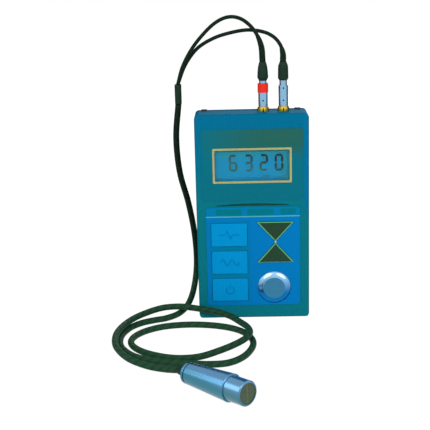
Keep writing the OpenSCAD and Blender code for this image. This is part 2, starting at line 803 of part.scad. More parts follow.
module keypad_board() {
    notch_x = disc_x - cup_d / 2 - 2 * fit_gap;
    notch_top = disc_z + cup_d / 2 + 2 * fit_gap;
    color([0.05, 0.35, 0.15]) difference() {
        slab(keypad_board_y, keypad_board_y + keypad_board_t) difference() {
            translate([-keypad_board_w / 2, keypad_board_z0])
                square([keypad_board_w, keypad_board_z1 - keypad_board_z0]);
            translate([notch_x, keypad_board_z0 - cut])
                square([keypad_board_w, notch_top - keypad_board_z0 + cut]);
        }
        at_keypad_posts()
            rod_y(board_screw_d + 2 * fit_gap, keypad_board_y - cut, keypad_board_y + keypad_board_t + cut);
        // Bites round the posts that carry the main board
        at_board_posts()
            rod_y(post_d + 4 * fit_gap, keypad_board_y - cut, keypad_board_y + keypad_board_t + cut);
    }
}

module board_link() {
    link_h = keypad_board_z1 - board_z0;
    color([0.12, 0.12, 0.12]) slab(keypad_board_y + keypad_board_t, board_y)
        translate([-link_w / 2, board_z0]) square([link_w, link_h]);
}

module board_screws() {
    color([0.75, 0.76, 0.78]) {
        at_board_posts() translate([0, board_y + board_t, 0]) rotate([-90, 0, 0])
            screw(board_screw_d, board_t + board_screw_bite, board_screw_head_d, board_screw_head_t);
        at_keypad_posts() translate([0, keypad_board_y + keypad_board_t, 0]) rotate([-90, 0, 0])
            screw(board_screw_d, keypad_board_t + keypad_screw_bite, board_screw_head_d,
                board_screw_head_t);
    }
}

module keypad_panel() {
    color([0.0, 0.45, 0.72]) slab(pad_y, pad_floor_y) difference() {
        translate([0, pad_mid_z]) round_rect(pad_w, pad_h, pad_r);
        key_windows();
        translate([disc_x, disc_z]) circle(d = disc_d + 2 * disc_gap);
    }
}

// Rectangular key, counted upwards from the lowest
module rectangular_key(i) {
    translate([key_x, 0, key_z + i * key_pitch]) {
        pillow(key_w, key_h, key_front_y, key_lip_y + key_lip_t, key_r, key_edge_r);
        slab(key_lip_y, key_lip_y + key_lip_t) round_rect(key_w + 2 * key_lip, key_h + 2 * key_lip, key_r);
        rod_y(stem_d, key_lip_y, stem_end_y);
    }
}

// Triangular key with a lip that stops short of its tip
module arrow_key(turned) {
    slab(key_front_y, key_lip_y + key_lip_t) at_arrow(turned) arrow_outline(0);
    slab(key_lip_y, key_lip_y + key_lip_t) at_arrow(turned) intersection() {
        arrow_outline(key_lip);
        translate([-arrow_w, -2 * arrow_h - arrow_tip_room]) square([2 * arrow_w, 2 * arrow_h]);
    }
    slab(key_lip_y, stem_end_y) at_arrow(turned) translate([0, -arrow_h * stem_share]) circle(d = stem_d);
}

module key_top() { color([0.0, 0.58, 0.83]) rectangular_key(2); }
module key_middle() { color([0.0, 0.58, 0.83]) rectangular_key(1); }
module key_bottom() { color([0.0, 0.58, 0.83]) rectangular_key(0); }
module key_down() { color([0.12, 0.25, 0.18]) arrow_key(1); }
module key_up() { color([0.12, 0.25, 0.18]) arrow_key(0); }

// Snap domes under the keys
module key_domes() {
    stem_drop = arrow_h * stem_share + arrow_gap / 2;
    centres = concat(
        [for (i = [0 : 2]) [key_x, key_z + i * key_pitch]],
        [[arrow_x, arrow_z + stem_drop], [arrow_x, arrow_z - stem_drop]]
    );
    color([0.85, 0.85, 0.82]) for (c = centres) translate([c[0], keypad_board_y, c[1]]) rotate([90, 0, 0])
        cylinder(d1 = dome_d, d2 = dome_top_d, h = dome_h);
}

module reference_disc() {
    color([0.72, 0.74, 0.76]) translate([disc_x, disc_back_y, disc_z]) rotate([90, 0, 0]) rotate_extrude() {
        square([disc_flat_d / 2, disc_t]);
        square([disc_d / 2, disc_t - disc_proud]);
        intersection() {
            translate([disc_flat_d / 2, disc_t - disc_rim_r]) circle(disc_rim_r);
            translate([0, disc_t - disc_proud - touch_gap]) square([disc_d / 2, disc_proud + touch_gap]);
        }
    }
}

// Socket with its ring on the case's top
module socket(x) {
    color([0.83, 0.68, 0.22]) translate([x, 0, case_h]) difference() {
        union() {
            cylinder(d = socket_d, h = socket_ring_h);
            cylinder(d = socket_top_d, h = socket_h);
            translate([0, 0, -socket_depth]) cylinder(d = socket_shank_d, h = socket_depth + cut);
            translate([0, 0, -socket_depth - pin_l]) cylinder(d = pin_d, h = pin_l + socket_floor / 2);
        }
        translate([0, 0, -socket_depth + socket_floor - fit_gap])
            cylinder(d = socket_bore_d, h = socket_depth + socket_h);
    }
}

module socket_left() { socket(socket_xs[0]); }
module socket_right() { socket(socket_xs[1]); }

module socket_nuts() {
    nut_z = case_h - case_wall - nut_t;
    color([0.83, 0.68, 0.22]) for (x = socket_xs) translate([x, 0, nut_z]) difference() {
        cylinder(d = nut_w, h = nut_t, $fn = 6);
        translate([0, 0, -cut]) cylinder(d = socket_shank_d + 2 * thread_gap, h = nut_t + 2 * cut);
    }
}

// Body of a plug, from its nose in the socket to its tail in the boot
module plug(x) {
    color([0.78, 0.80, 0.82]) translate([x, 0, 0]) {
        translate([0, 0, plug_z0]) cylinder(d = nose_plug_d, h = sleeve_z - plug_z0);
        translate([0, 0, case_h + socket_h + fit_gap])
            cylinder(d = plug_d, h = boot_z - case_h - socket_h - fit_gap);
        translate([0, 0, boot_z]) cylinder(d = boot_tail_d, h = boot_tail_l);
    }
}

module plug_left() { plug(socket_xs[0]); }
module plug_right() { plug(socket_xs[1]); }

// Release sleeve with rows of dimples
module sleeve(x) {
    color([0.70, 0.75, 0.80]) translate([x, 0, sleeve_z]) difference() {
        cylinder(d = sleeve_d, h = sleeve_l);
        translate([0, 0, -cut]) cylinder(d = plug_d + 2 * fit_gap, h = sleeve_l + 2 * cut);
        for (rise = dimple_rises, i = [0 : dimples - 1]) rotate([0, 0, i * 360 / dimples + 30])
            translate([sleeve_d / 2 - dimple_t, 0, rise]) rotate([0, 90, 0])
                cylinder(d = dimple_d, h = cut);
    }
}

module sleeve_left() { sleeve(socket_xs[0]); }
module sleeve_right() { sleeve(socket_xs[1]); }

module marker_ring() {
    ring_z = boot_z - sleeve_travel - ring_gap - ring_l;
    color([0.92, 0.20, 0.14]) translate([socket_xs[0], 0, ring_z]) difference() {
        cylinder(d = sleeve_d + 2 * touch_gap + 2 * ring_t, h = ring_l);
        translate([0, 0, -cut]) cylinder(d = sleeve_d + 2 * touch_gap, h = ring_l + 2 * cut);
    }
}

// Moulded boot, turned from its outline
module boot(x, outline) {
    side = [for (p = outline) [p[1] * boot_d / 2, p[0] * boot_l]];
    color([0.06, 0.12, 0.10]) translate([x, 0, boot_z]) difference() {
        rotate_extrude() polygon(concat([[0, 0]], side, [[0, boot_l]]));
        translate([0, 0, -cut])
            cylinder(d = boot_tail_d + 2 * touch_gap, h = boot_tail_l + touch_gap + cut);
    }
}

module boot_left() { boot(socket_xs[0], boot_left_outline); }
module boot_right() { boot(socket_xs[1], boot_right_outline); }

// Unit vector along v
function unit(v) = v / norm(v);

// Point on the smooth curve through a route, u of the way from point i to the next
function curve_point(p, i, u) =
    let (last = len(p) - 1,
         a = i > 0 ? p[i - 1] : 2 * p[0] - p[1],
         b = p[i],
         c = p[i + 1],
         d = i + 2 <= last ? p[i + 2] : 2 * p[last] - p[last - 1])
    0.5 * (2 * b + (c - a) * u + (2 * a - 5 * b + 4 * c - d) * u * u + (3 * b - a - 3 * c + d) * u * u * u);

// Point held above the surface that the case stands on
function lifted(p, low) = [p[0], p[1], max(p[2], low)];

// Route with more points between its own, none of them lower than low
function refined(p, steps, low) = concat(
    [for (i = [0 : len(p) - 2], k = [0 : steps - 1]) lifted(curve_point(p, i, k / steps), low)],
    [p[len(p) - 1]]
);

// Direction of a path at each point, with the two ends' directions given
function directions(p, first, last) =
    [for (i = [0 : len(p) - 1])
        i == 0 ? unit(first) : i == len(p) - 1 ? unit(last) : unit(p[i + 1] - p[i - 1])];

// Sideways vector at each point, turned as little as possible from one to the next
function carried(t, side, i = 0) =
    i == len(t) ? [] :
    let (s = unit(side - (side * t[i]) * t[i])) concat([s], carried(t, s, i + 1));

// Faces of a closed tube of rings
function tube_faces(rings, sides) = concat(
    [[for (s = [0 : sides - 1]) s]],
    [for (k = [0 : rings - 2], s = [0 : sides - 1]) let (n = (s + 1) % sides)
        [k * sides + s, (k + 1) * sides + s, (k + 1) * sides + n, k * sides + n]],
    [[for (s = [sides - 1 : -1 : 0]) (rings - 1) * sides + s]]
);

// Round tube along a route
module tube(route, d, sides, steps, first, last) {
    path = refined(route, steps, d / 2 + touch_gap);
    t = directions(path, first, last);
    side = carried(t, [0.3, 1, 0.2]);
    points = [for (i = [0 : len(path) - 1], s = [0 : sides - 1])
        let (a = s * 360 / sides) path[i] + d / 2 * (cos(a) * side[i] + sin(a) * cross(t[i], side[i]))];
    polyhedron(points, tube_faces(len(path), sides));
}

module lead_left() {
    color([0.05, 0.10, 0.09]) tube(lead_left_route, lead_d, lead_sides, lead_steps, [0, 0, 1], [0, 0, -1]);
}

module lead_right() {
    color([0.05, 0.10, 0.09]) tube(lead_right_route, lead_d, lead_sides, lead_steps, [0, 0, 1], [0, 0, -1]);
}

module cable_yoke() {
    yoke_w = lead_d + 2 * yoke_wall;
    color([0.06, 0.09, 0.09]) translate([yoke_x, yoke_y, yoke_z]) linear_extrude(yoke_l)
        round_rect(yoke_w, 2 * lead_d + 2 * yoke_wall, yoke_w / 2 - touch_gap);
}

// Direction of the probe's axis, from its rear to its face
probe_axis = [
    cos(probe_lift) * cos(probe_yaw), cos(probe_lift) * sin(probe_yaw), sin(probe_lift)
];
probe_rear = [
    probe_x - sin(probe_lift) * barrel_rear_r * cos(probe_yaw),
    probe_y - sin(probe_lift) * barrel_rear_r * sin(probe_yaw),
    barrel_rear_r * cos(probe_lift)
];
gland_end = probe_rear - gland_l * probe_axis;

module probe_cable() {
    color([0.05, 0.10, 0.09]) tube(concat(cable_route, [gland_end]), cable_d, cable_sides, cable_steps,
        [0, 0, -1], probe_axis);
}

// Places a shape turned about Z on the probe's axis, its rear at the origin
module on_probe() {
    translate([probe_x, probe_y, 0]) rotate([0, 0, probe_yaw]) rotate([0, -probe_lift, 0])
        translate([0, 0, barrel_rear_r]) rotate([0, 90, 0]) children();
}

module probe_gland() {
    color([0.05, 0.08, 0.08]) on_probe() rotate_extrude() polygon([
        [0, -gland_l], [gland_tip_d / 2, -gland_l], [gland_d / 2, -gland_collar],
        [gland_d / 2, gland_seat_l], [0, gland_seat_l]
    ]);
}

module probe_barrel() {
    groove_r = barrel_rear_r - barrel_groove_t;
    color([0.66, 0.72, 0.78]) on_probe() difference() {
        rotate_extrude() polygon([
            [0, 0], [barrel_rear_r - barrel_round, 0], [barrel_rear_r, barrel_round],
            [barrel_front_r, barrel_l - barrel_chamfer], [barrel_front_r - barrel_chamfer, barrel_l],
            [0, barrel_l]
        ]);
        translate([0, 0, -cut]) cylinder(d = gland_d + 2 * touch_gap, h = gland_seat_l + touch_gap + cut);
        translate([0, 0, rear_wall]) cylinder(r = barrel_bore_r, h = barrel_l);
        rotate_extrude() translate([groove_r, barrel_groove_s])
            square([barrel_groove_t + cut, barrel_groove_w]);
    }
}

module probe_nose() {
    color([0.72, 0.76, 0.80]) on_probe() difference() {
        rotate_extrude() polygon([
            [0, barrel_l - nose_seat_l], [barrel_bore_r - touch_gap, barrel_l - nose_seat_l],
            [barrel_bore_r - touch_gap, barrel_l], [nose_d / 2, barrel_l],
            [nose_d / 2, probe_l - nose_chamfer], [nose_d / 2 - nose_chamfer, probe_l], [0, probe_l]
        ]);
        translate([0, 0, barrel_l + nose_floor_t]) cylinder(r = probe_bore_r, h = nose_l);
        translate([0, 0, barrel_l - nose_seat_l - cut]) cylinder(r = spigot_bore_r, h = nose_l);
    }
}

// Half of a disc stack in the nose, on one side of the sound barrier
module half_round(side, s0, s1) {
    on_probe() translate([0, 0, s0]) intersection() {
        cylinder(r = probe_bore_r - touch_gap, h = s1 - s0);
        translate([-probe_bore_r, side > 0 ? barrier_t / 2 : -barrier_t / 2 - probe_bore_r, -cut])
            cube([2 * probe_bore_r, probe_bore_r, s1 - s0 + 2 * cut]);
    }
}

crystal_s = barrel_l + nose_floor_t + crystal_t;

module delay_left() { color([0.16, 0.26, 0.20]) half_round(-1, crystal_s, probe_l - face_sink); }
module delay_right() { color([0.16, 0.26, 0.20]) half_round(1, crystal_s, probe_l - face_sink); }

module sound_barrier() {
    w = 2 * sqrt((probe_bore_r - touch_gap) * (probe_bore_r - touch_gap) - barrier_t * barrier_t / 4);
    color([0.30, 0.24, 0.16]) on_probe() translate([-w / 2, -barrier_t / 2, crystal_s - crystal_t])
        cube([w, barrier_t, probe_l - face_sink - crystal_s + crystal_t]);
}

module crystals() {
    color([0.85, 0.80, 0.65]) for (side = [-1, 1]) half_round(side, crystal_s - crystal_t, crystal_s);
}

module damping_block() {
    color([0.25, 0.25, 0.27]) on_probe() translate([0, 0, crystal_s - crystal_t - damping_l])
        cylinder(r = spigot_bore_r - touch_gap, h = damping_l);
}

front_case();
rear_case();
battery_door();
battery_tray();
cell_left();
cell_right();
battery_springs();
battery_contacts();
case_screws();
top_screws();
display_label();
display_frame();
display_window();
lcd_cell();
lcd_holder();
contact_strips();
main_board();
board_parts();
keypad_board();
board_link();
board_screws();
keypad_panel();
key_top();
key_middle();
key_bottom();
key_down();
key_up();
key_domes();
reference_disc();
socket_left();
socket_right();
socket_nuts();
plug_left();
plug_right();
sleeve_left();
sleeve_right();
marker_ring();
boot_left();
boot_right();
lead_left();
lead_right();
cable_yoke();
probe_cable();
probe_gland();
probe_barrel();
probe_nose();
delay_left();
delay_right();
sound_barrier();
crystals();
damping_block();
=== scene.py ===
"""Looks of an ultrasonic thickness gauge: finishes, printed fields, display, cords, stage and camera.

Lengths are metres in the part's own frame: the case stands on its lower end at z = 0, its face
looks towards -Y and +X is to the right. Colours are written as 8-bit display values.
"""

from __future__ import annotations

import logging
import math
from collections.abc import Sequence
from dataclasses import dataclass, field
from enum import Enum
from typing import ClassVar

import bmesh
import bpy
from mathutils import Matrix, Vector

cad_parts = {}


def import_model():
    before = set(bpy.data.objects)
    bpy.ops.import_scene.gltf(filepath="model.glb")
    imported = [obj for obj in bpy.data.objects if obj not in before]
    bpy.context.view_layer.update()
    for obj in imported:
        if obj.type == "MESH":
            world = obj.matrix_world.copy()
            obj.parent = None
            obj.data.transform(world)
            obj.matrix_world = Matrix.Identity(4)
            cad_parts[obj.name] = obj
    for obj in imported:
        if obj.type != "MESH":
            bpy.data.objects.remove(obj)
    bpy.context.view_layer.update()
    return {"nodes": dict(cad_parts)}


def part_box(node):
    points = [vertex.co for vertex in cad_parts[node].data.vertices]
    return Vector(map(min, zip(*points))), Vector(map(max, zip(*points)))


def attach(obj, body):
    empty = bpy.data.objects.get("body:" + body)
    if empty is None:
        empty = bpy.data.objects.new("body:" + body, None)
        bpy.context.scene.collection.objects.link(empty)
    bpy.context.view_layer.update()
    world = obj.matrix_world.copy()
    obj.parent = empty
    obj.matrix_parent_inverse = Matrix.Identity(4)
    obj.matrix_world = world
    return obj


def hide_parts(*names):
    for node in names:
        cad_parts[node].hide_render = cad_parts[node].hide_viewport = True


LOG = logging.getLogger("gauge")
ROOT = "case"
SIDES = ("left", "right")
UV_NAME = "UVMap"

Flat = tuple[float, float]
Point = tuple[float, float, float]
Colour = tuple[float, float, float, float]
Nodes = dict[str, bpy.types.Object]

RIGHT: Point = (1.0, 0.0, 0.0)
BACK: Point = (0.0, 1.0, 0.0)
UP: Point = (0.0, 0.0, 1.0)
WHITE: Colour = (1.0, 1.0, 1.0, 1.0)


def linear(red: float, green: float, blue: float) -> Colour:
    """Turns an 8-bit display colour into the linear colour that shaders take.

    Args:
        red: Red from 0 to 255.
        green: Green from 0 to 255.
        blue: Blue from 0 to 255.

    Returns:
        The linear colour with an alpha of 1.
    """
    parts = []
    # The sRGB curve: a straight stretch for the darkest values, and a power for the rest
    for value in (red, green, blue):
        share = value / 255
        parts.append(share / 12.92 if share <= 0.04045 else ((share + 0.055) / 1.055) ** 2.4)
    return (parts[0], parts[1], parts[2], 1.0)


class Tint(Enum):
    """Colours of the gauge as 8-bit display values."""

    CASE_TOP = (6, 107, 144)
    CASE_LOW = (12, 115, 128)
    CASE_EDGE = (5, 111, 154)
    # Painted shade: the rear half of the case, and with it the back of the top face, is darker
    CASE_REAR_SHADE = (8, 86, 116)
    LABEL = (6, 109, 127)
    LABEL_BAND = (36, 98, 90)
    FRAME = (172, 170, 114)
    WINDOW = (190, 225, 240)
    LCD = (6, 168, 220)
    LCD_DEEP = (36, 168, 174)
    DIGIT = (18, 46, 40)
    DIGIT_PALE = (46, 96, 90)
    PANEL = (0, 120, 188)
    PANEL_HEAD = (0, 122, 172)
    PANEL_PRINT = (0, 116, 132)
    PANEL_LINE = (92, 182, 170)
    KEY_MARGIN = (0, 118, 184)
    KEY_WELL = (0, 120, 160)
    KEY = (0, 143, 207)
    KEY_MARK = (0, 124, 186)
    ARROW = (36, 66, 46)
    ARROW_EDGE = (104, 178, 116)
    ARROW_TIP = (190, 224, 190)
    UNIT = (24, 104, 112)
    # Painted shade in the notch under the label
    NOTCH_SHADE = (26, 70, 68)
    RUBBER = (34, 74, 50)
    # Painted shade: the same rubber, darker where the cords rise off the floor
    RUBBER_HIGH_SHADE = (17, 38, 26)
    # Painted shade in the grooves of the cable's twist
    TWIST_SHADE = (216, 216, 216)
    BOOT = (25, 47, 37)
    SCREEN = (20, 26, 28)
    STEEL = (206, 214, 222)
    # Painted reflection: the disc's steel pale above, blue below as if mirroring the panel, and a bluer flat
    DISC_TOP_REFLECTION = (150, 196, 232)
    DISC_LOW_REFLECTION = (12, 112, 174)
    DISC_FLAT_AND_REFLECTION = (58, 122, 156)
    SLEEVE = (136, 178, 208)
    # Painted shade in the sleeves' dimples and the sockets' keyways
    RECESS_SHADE = (20, 34, 40)
    PROBE = (90, 140, 178)
    # Painted reflection: the probe's plating is darker on its lower side
    PROBE_LOW_REFLECTION = (62, 124, 144)
    NOSE = (100, 144, 178)
    NOSE_LOW_REFLECTION = (74, 125, 140)
    GILT = (236, 196, 72)
    MARKER = (234, 46, 28)
    BLACKENED = (26, 28, 30)
    RESIN = (58, 78, 54)
    CORK = (98, 100, 70)
    BOARD = (14, 92, 44)
    BLACK_PLASTIC = (34, 34, 37)
    SILICONE = (228, 150, 148)
    NICKEL = (216, 212, 200)
    CERAMIC = (218, 206, 170)
    LOADED_RESIN = (66, 66, 70)

    @property
    def colour(self) -> Colour:
        """Linear colour for a shader."""
        return linear(*self.value)


class Wiring:
    """One shader node tree while it is being built."""

    def __init__(self, tree: bpy.types.NodeTree) -> None:
        """Starts on a tree."""
        self.tree = tree

    def feed(self, socket: bpy.types.NodeSocket, value: object) -> None:
        """Links an input to an output, or sets its value.

        Args:
            socket: The input.
            value: An output socket or a plain value.
        """
        if isinstance(value, bpy.types.NodeSocket):
            self.tree.links.new(value, socket)
        else:
            socket.default_value = value

    def fill(self, node: bpy.types.Node, **inputs: object) -> bpy.types.Node:
        """Feeds some of a node's inputs.

        Args:
            node: The node.
            **inputs: Value or socket for each input, with spaces as underscores.

        Returns:
            The node.
        """
        for label, value in inputs.items():
            self.feed(node.inputs[label.replace("_", " ")], value)
        return node

    def add(self, kind: str, **inputs: object) -> bpy.types.Node:
        """Adds a node, its kind without the ShaderNode that Blender puts first, and feeds its inputs."""
        return self.fill(self.tree.nodes.new(f"ShaderNode{kind}"), **inputs)

    def maths(self, operation: str, *values: object) -> bpy.types.NodeSocket:
        """Adds a Math node.

        Args:
            operation: Blender's name of the operation.
            *values: Its values or sockets, in order.

        Returns:
            The result's socket.
        """
        node = self.add("Math")
        node.operation = operation
        for socket, value in zip(node.inputs, values):
            self.feed(socket, value)
        return node.outputs[0]

    def place(self) -> bpy.types.NodeSocket:
        """Adds the object's own coordinates."""
        return self.add("TexCoord").outputs["Object"]


class NodeGroups:
    """Shader node groups that several finishes share, each built once."""

    VECTORS = ("Direction", "Vector")
    GRAIN_DETAIL = 3.0
    NOISE_MIDDLE = 0.5
    NOISE_GAIN = 4.0

    def __init__(self) -> None:
        """Builds every group."""
        self.grain = self._grain()
        self.fade = self._fade()
        self.printed = self._printed()
        self.turning = self._turning()

    def _start(
        self, name: str, inputs: Sequence[str], outputs: Sequence[str]
    ) -> tuple[Wiring, bpy.types.NodeOutputs, bpy.types.NodeInputs]:
        """Starts a group.

        Args:
            name: Name of the group.
            inputs: Names of its inputs.
            outputs: Names of its value outputs.

        Returns:
            The group's wiring, the sockets that bring its inputs and those that take its outputs.
        """
        tree = bpy.data.node_groups.new(name, "ShaderNodeTree")
        for label in inputs:
            kind = "NodeSocketVector" if label in self.VECTORS else "NodeSocketFloat"
            tree.interface.new_socket(label, in_out="INPUT", socket_type=kind)
        for label in outputs:
            tree.interface.new_socket(label, in_out="OUTPUT", socket_type="NodeSocketFloat")
        source = tree.nodes.new("NodeGroupInput").outputs
        sink = tree.nodes.new("NodeGroupOutput").inputs
        return Wiring(tree), source, sink

    def _grain(self) -> bpy.types.NodeTree:
        """Fine mottling: Tone multiplies a colour and Height feeds a bump.

        Returns:
            The group.
        """
        wiring, source, sink = self._start("fine_grain", ("Scale", "Contrast"), ("Tone", "Height"))
        texture = wiring.add("TexNoise", Vector=wiring.place(), Scale=source["Scale"])
        wiring.fill(texture, Detail=self.GRAIN_DETAIL)
        noise = texture.outputs[0]
        centred = wiring.maths("SUBTRACT", noise, self.NOISE_MIDDLE)
        swing = wiring.maths("MULTIPLY", centred, source["Contrast"])
        wiring.feed(sink["Tone"], wiring.maths("MULTIPLY_ADD", swing, self.NOISE_GAIN, 1.0))
        wiring.feed(sink["Height"], noise)
        return wiring.tree

    def _fade(self) -> bpy.types.NodeTree:
        """Soft step along one direction: Mask goes from 0 at Low to 1 at High.

        Returns:
            The group.
        """
        wiring, source, sink = self._start("soft_step", ("Direction", "Low", "High"), ("Mask",))
        along = wiring.add("VectorMath")
        along.operation = "DOT_PRODUCT"
        wiring.feed(along.inputs[0], wiring.place())
        wiring.feed(along.inputs[1], source["Direction"])
        step = wiring.add("MapRange", Value=along.outputs["Value"])
        step.interpolation_type = "SMOOTHSTEP"
        wiring.fill(step, From_Min=source["Low"], From_Max=source["High"])
        wiring.feed(sink["Mask"], step.outputs[0])
        return wiring.tree

    def _printed(self) -> bpy.types.NodeTree:
        """Printed rectangle on the face: Mask is 1 inside it.

        Returns:
            The group.
        """
        names = ("Left", "Right", "Bottom", "Top", "Soft")
        wiring, source, sink = self._start("printed_field", names, ("Mask",))
        place = wiring.add("SeparateXYZ", Vector=wiring.place()).outputs
        x, z = place["X"], place["Z"]
        nearest = wiring.maths("SUBTRACT", x, source["Left"])
        for high, low in ((source["Right"], x), (z, source["Bottom"]), (source["Top"], z)):
            nearest = wiring.maths("MINIMUM", nearest, wiring.maths("SUBTRACT", high, low))
        step = wiring.add("MapRange", Value=nearest, From_Min=0.0, From_Max=source["Soft"])
        wiring.feed(sink["Mask"], step.outputs[0])
        return wiring.tree

    def _turning(self) -> bpy.types.NodeTree:
        """Marks of a lathe round the vector's Z axis, Pitch apart.

        Returns:
            The group.
        """
        wiring, source, sink = self._start("turning_marks", ("Vector", "Pitch"), ("Height", "Radius"))
        place = wiring.add("SeparateXYZ", Vector=source["Vector"]).outputs
        across = wiring.maths("MULTIPLY", place["X"], place["X"])
        radius = wiring.maths("SQRT", wiring.maths("MULTIPLY_ADD", place["Y"], place["Y"], across))
        along = wiring.maths("ADD", radius, place["Z"])
        noise = wiring.add("TexNoise", Scale=1.0)
        noise.noise_dimensions = "1D"
        wiring.fill(noise, W=wiring.maths("DIVIDE", along, source["Pitch"]))
        wiring.feed(sink["Height"], noise.outputs[0])
        wiring.feed(sink["Radius"], radius)
        return wiring.tree


class Shader(Wiring):
    """One material while it is being built: a Principled BSDF and what feeds it."""

    groups: ClassVar[NodeGroups]
    BUMP_STRENGTH = 0.6
    # Places of the factor, the two colours and the mixed colour among the Mix node's sockets
    MIX_INPUTS = (0, 6, 7)
    MIX_RESULT = 2

    def __init__(self, name: str) -> None:
        """Starts a material.

        Args:
            name: Name of the material.
        """
        self.material = bpy.data.materials.new(name)
        self.material.use_nodes = True
        super().__init__(self.material.node_tree)
        self.bsdf = self.tree.nodes["Principled BSDF"]

    def group(self, tree: bpy.types.NodeTree, **inputs: object) -> bpy.types.Node:
        """Places a shared group.

        Args:
            tree: The group.
            **inputs: Value or socket for each input.

        Returns:
            The group's node.
        """
        node = self.add("Group")
        node.node_tree = tree
        return self.fill(node, **inputs)

    def printed(self, span: Flat, rise: Flat, soft: float) -> bpy.types.NodeSocket:
        """Places a printed rectangle.

        Args:
            span: Its left and right.
            rise: Its bottom and top.
            soft: Width of its soft edge.

        Returns:
            The rectangle's mask.
        """
        (left, right), (bottom, top) = span, rise
        sides = {"Left": left, "Right": right, "Bottom": bottom, "Top": top}
        return self.group(self.groups.printed, **sides, Soft=soft).outputs[0]

    def mix(self, first: object, second: object, factor: object, blend: str = "MIX") -> bpy.types.NodeSocket:
        """Mixes two colours.

        Args:
            first: Colour or socket at a factor of 0.
            second: Colour or socket at a factor of 1.
            factor: Factor or mask socket.
            blend: Blend type of the Mix node.

        Returns:
            The mixed colour's socket.
        """
        node = self.add("Mix")
        node.data_type = "RGBA"
        node.blend_type = blend
        for place, value in zip(self.MIX_INPUTS, (factor, first, second)):
            self.feed(node.inputs[place], value)
        return node.outputs[self.MIX_RESULT]

    def grained(self, colour: object, scale: float, contrast: float, bump: float = 0.0) -> None:
        """Feeds a mottled colour, and a bump if it has one, to the shader.

        Args:
            colour: Colour or socket.
            scale: Grains per metre.
            contrast: Share by which the colour swings.
            bump: Depth of the grain in metres.
        """
        grain = self.group(self.groups.grain, Scale=scale, Contrast=contrast).outputs
        self.fill(self.bsdf, Base_Color=self.mix(colour, grain["Tone"], 1.0, "MULTIPLY"))
        if bump:
            self.bump(grain["Height"], bump)

    def bump(self, height: bpy.types.NodeSocket, depth: float) -> None:
        """Feeds a height from 0 to 1 to the shader's normal, depth metres deep."""
        node = self.add("Bump", Strength=self.BUMP_STRENGTH, Distance=depth, Height=height)
        self.fill(self.bsdf, Normal=node.outputs[0])


@dataclass(frozen=True)
class Fade:
    """A soft step along one direction, from 0 at its low end to 1 at its high end."""

    direction: Point
    low: float
    high: float

    def mask(self, shader: Shader) -> bpy.types.NodeSocket:
        """Places the step in a material and gives its mask."""
        ends = {"Low": self.low, "High": self.high}
        return shader.group(Shader.groups.fade, Direction=self.direction, **ends).outputs[0]


@dataclass(frozen=True)
class Finish:
    """A moulded, printed or metal finish with a fine grain.

    The scale is grains per metre, the contrast the share by which the colour swings, and the
    bump the grain's depth in metres.
    """

    name: str
    tint: Tint
    roughness: float = 0.4
    metallic: float = 0.0
    specular: float = 0.4
    scale: float = 900.0
    contrast: float = 0.06
    bump: float = 0.00002

    def build(self) -> bpy.types.Material:
        """Builds the finish in its one tint."""
        return self.close(Shader(self.name), self.tint.colour)

    def close(self, shader: Shader, colour: object) -> bpy.types.Material:
        """Gives a material its colour and the rest of the finish.

        Args:
            shader: The material's shader.
            colour: Its colour or colour socket.

        Returns:
            The material.
        """
        shader.grained(colour, self.scale, self.contrast, self.bump)
        shader.fill(shader.bsdf, Roughness=self.roughness, Metallic=self.metallic)
        shader.fill(shader.bsdf, Specular_IOR_Level=self.specular)
        return shader.material


@dataclass(frozen=True)
class Turned:
    """A turned metal finish, its lathe marks round an axis through a centre.

    Its roughness swings by a share either way from mark to mark. It may change downwards to a low
    tint, a painted reflection, and inside a hub radius it has a tint of its own.
    """

    name: str
    tint: Tint
    centre: Point
    turn: Point
    roughness: float = 0.2
    swing: float = 0.4
    pitch: float = 0.00025
    depth: float = 0.00001
    scale: float = 1500.0
    contrast: float = 0.04
    fade: Fade | None = None
    low_reflection_tint: Tint = Tint.STEEL
    hub: float = 0.0
    hub_tint: Tint = Tint.STEEL

    def build(self) -> bpy.types.Material:
        """Builds the finish's material.

        Returns:
            The material.
        """
        shader = Shader(self.name)
        mapping = shader.add("Mapping", Location=self.centre, Rotation=self.turn)
        mapping.vector_type = "TEXTURE"
        shader.fill(mapping, Vector=shader.place())
        lathe = shader.group(Shader.groups.turning, Vector=mapping.outputs[0], Pitch=self.pitch)
        height, radius = lathe.outputs["Height"], lathe.outputs["Radius"]
        bright, dull = self.roughness * (1 - self.swing), self.roughness * (1 + self.swing)
        polish = shader.add("MapRange", Value=height, To_Min=bright, To_Max=dull)
        colour: object = self.tint.colour
        # The low tint is a painted reflection on the lower side
        if self.fade is not None:
            colour = shader.mix(self.low_reflection_tint.colour, colour, self.fade.mask(shader))
        if self.hub:
            inside = shader.maths("LESS_THAN", radius, self.hub)
            colour = shader.mix(colour, self.hub_tint.colour, inside)
        shader.grained(colour, self.scale, self.contrast)
        shader.bump(height, self.depth)
        shader.fill(shader.bsdf, Metallic=1.0, Roughness=polish.outputs[0])
        return shader.material


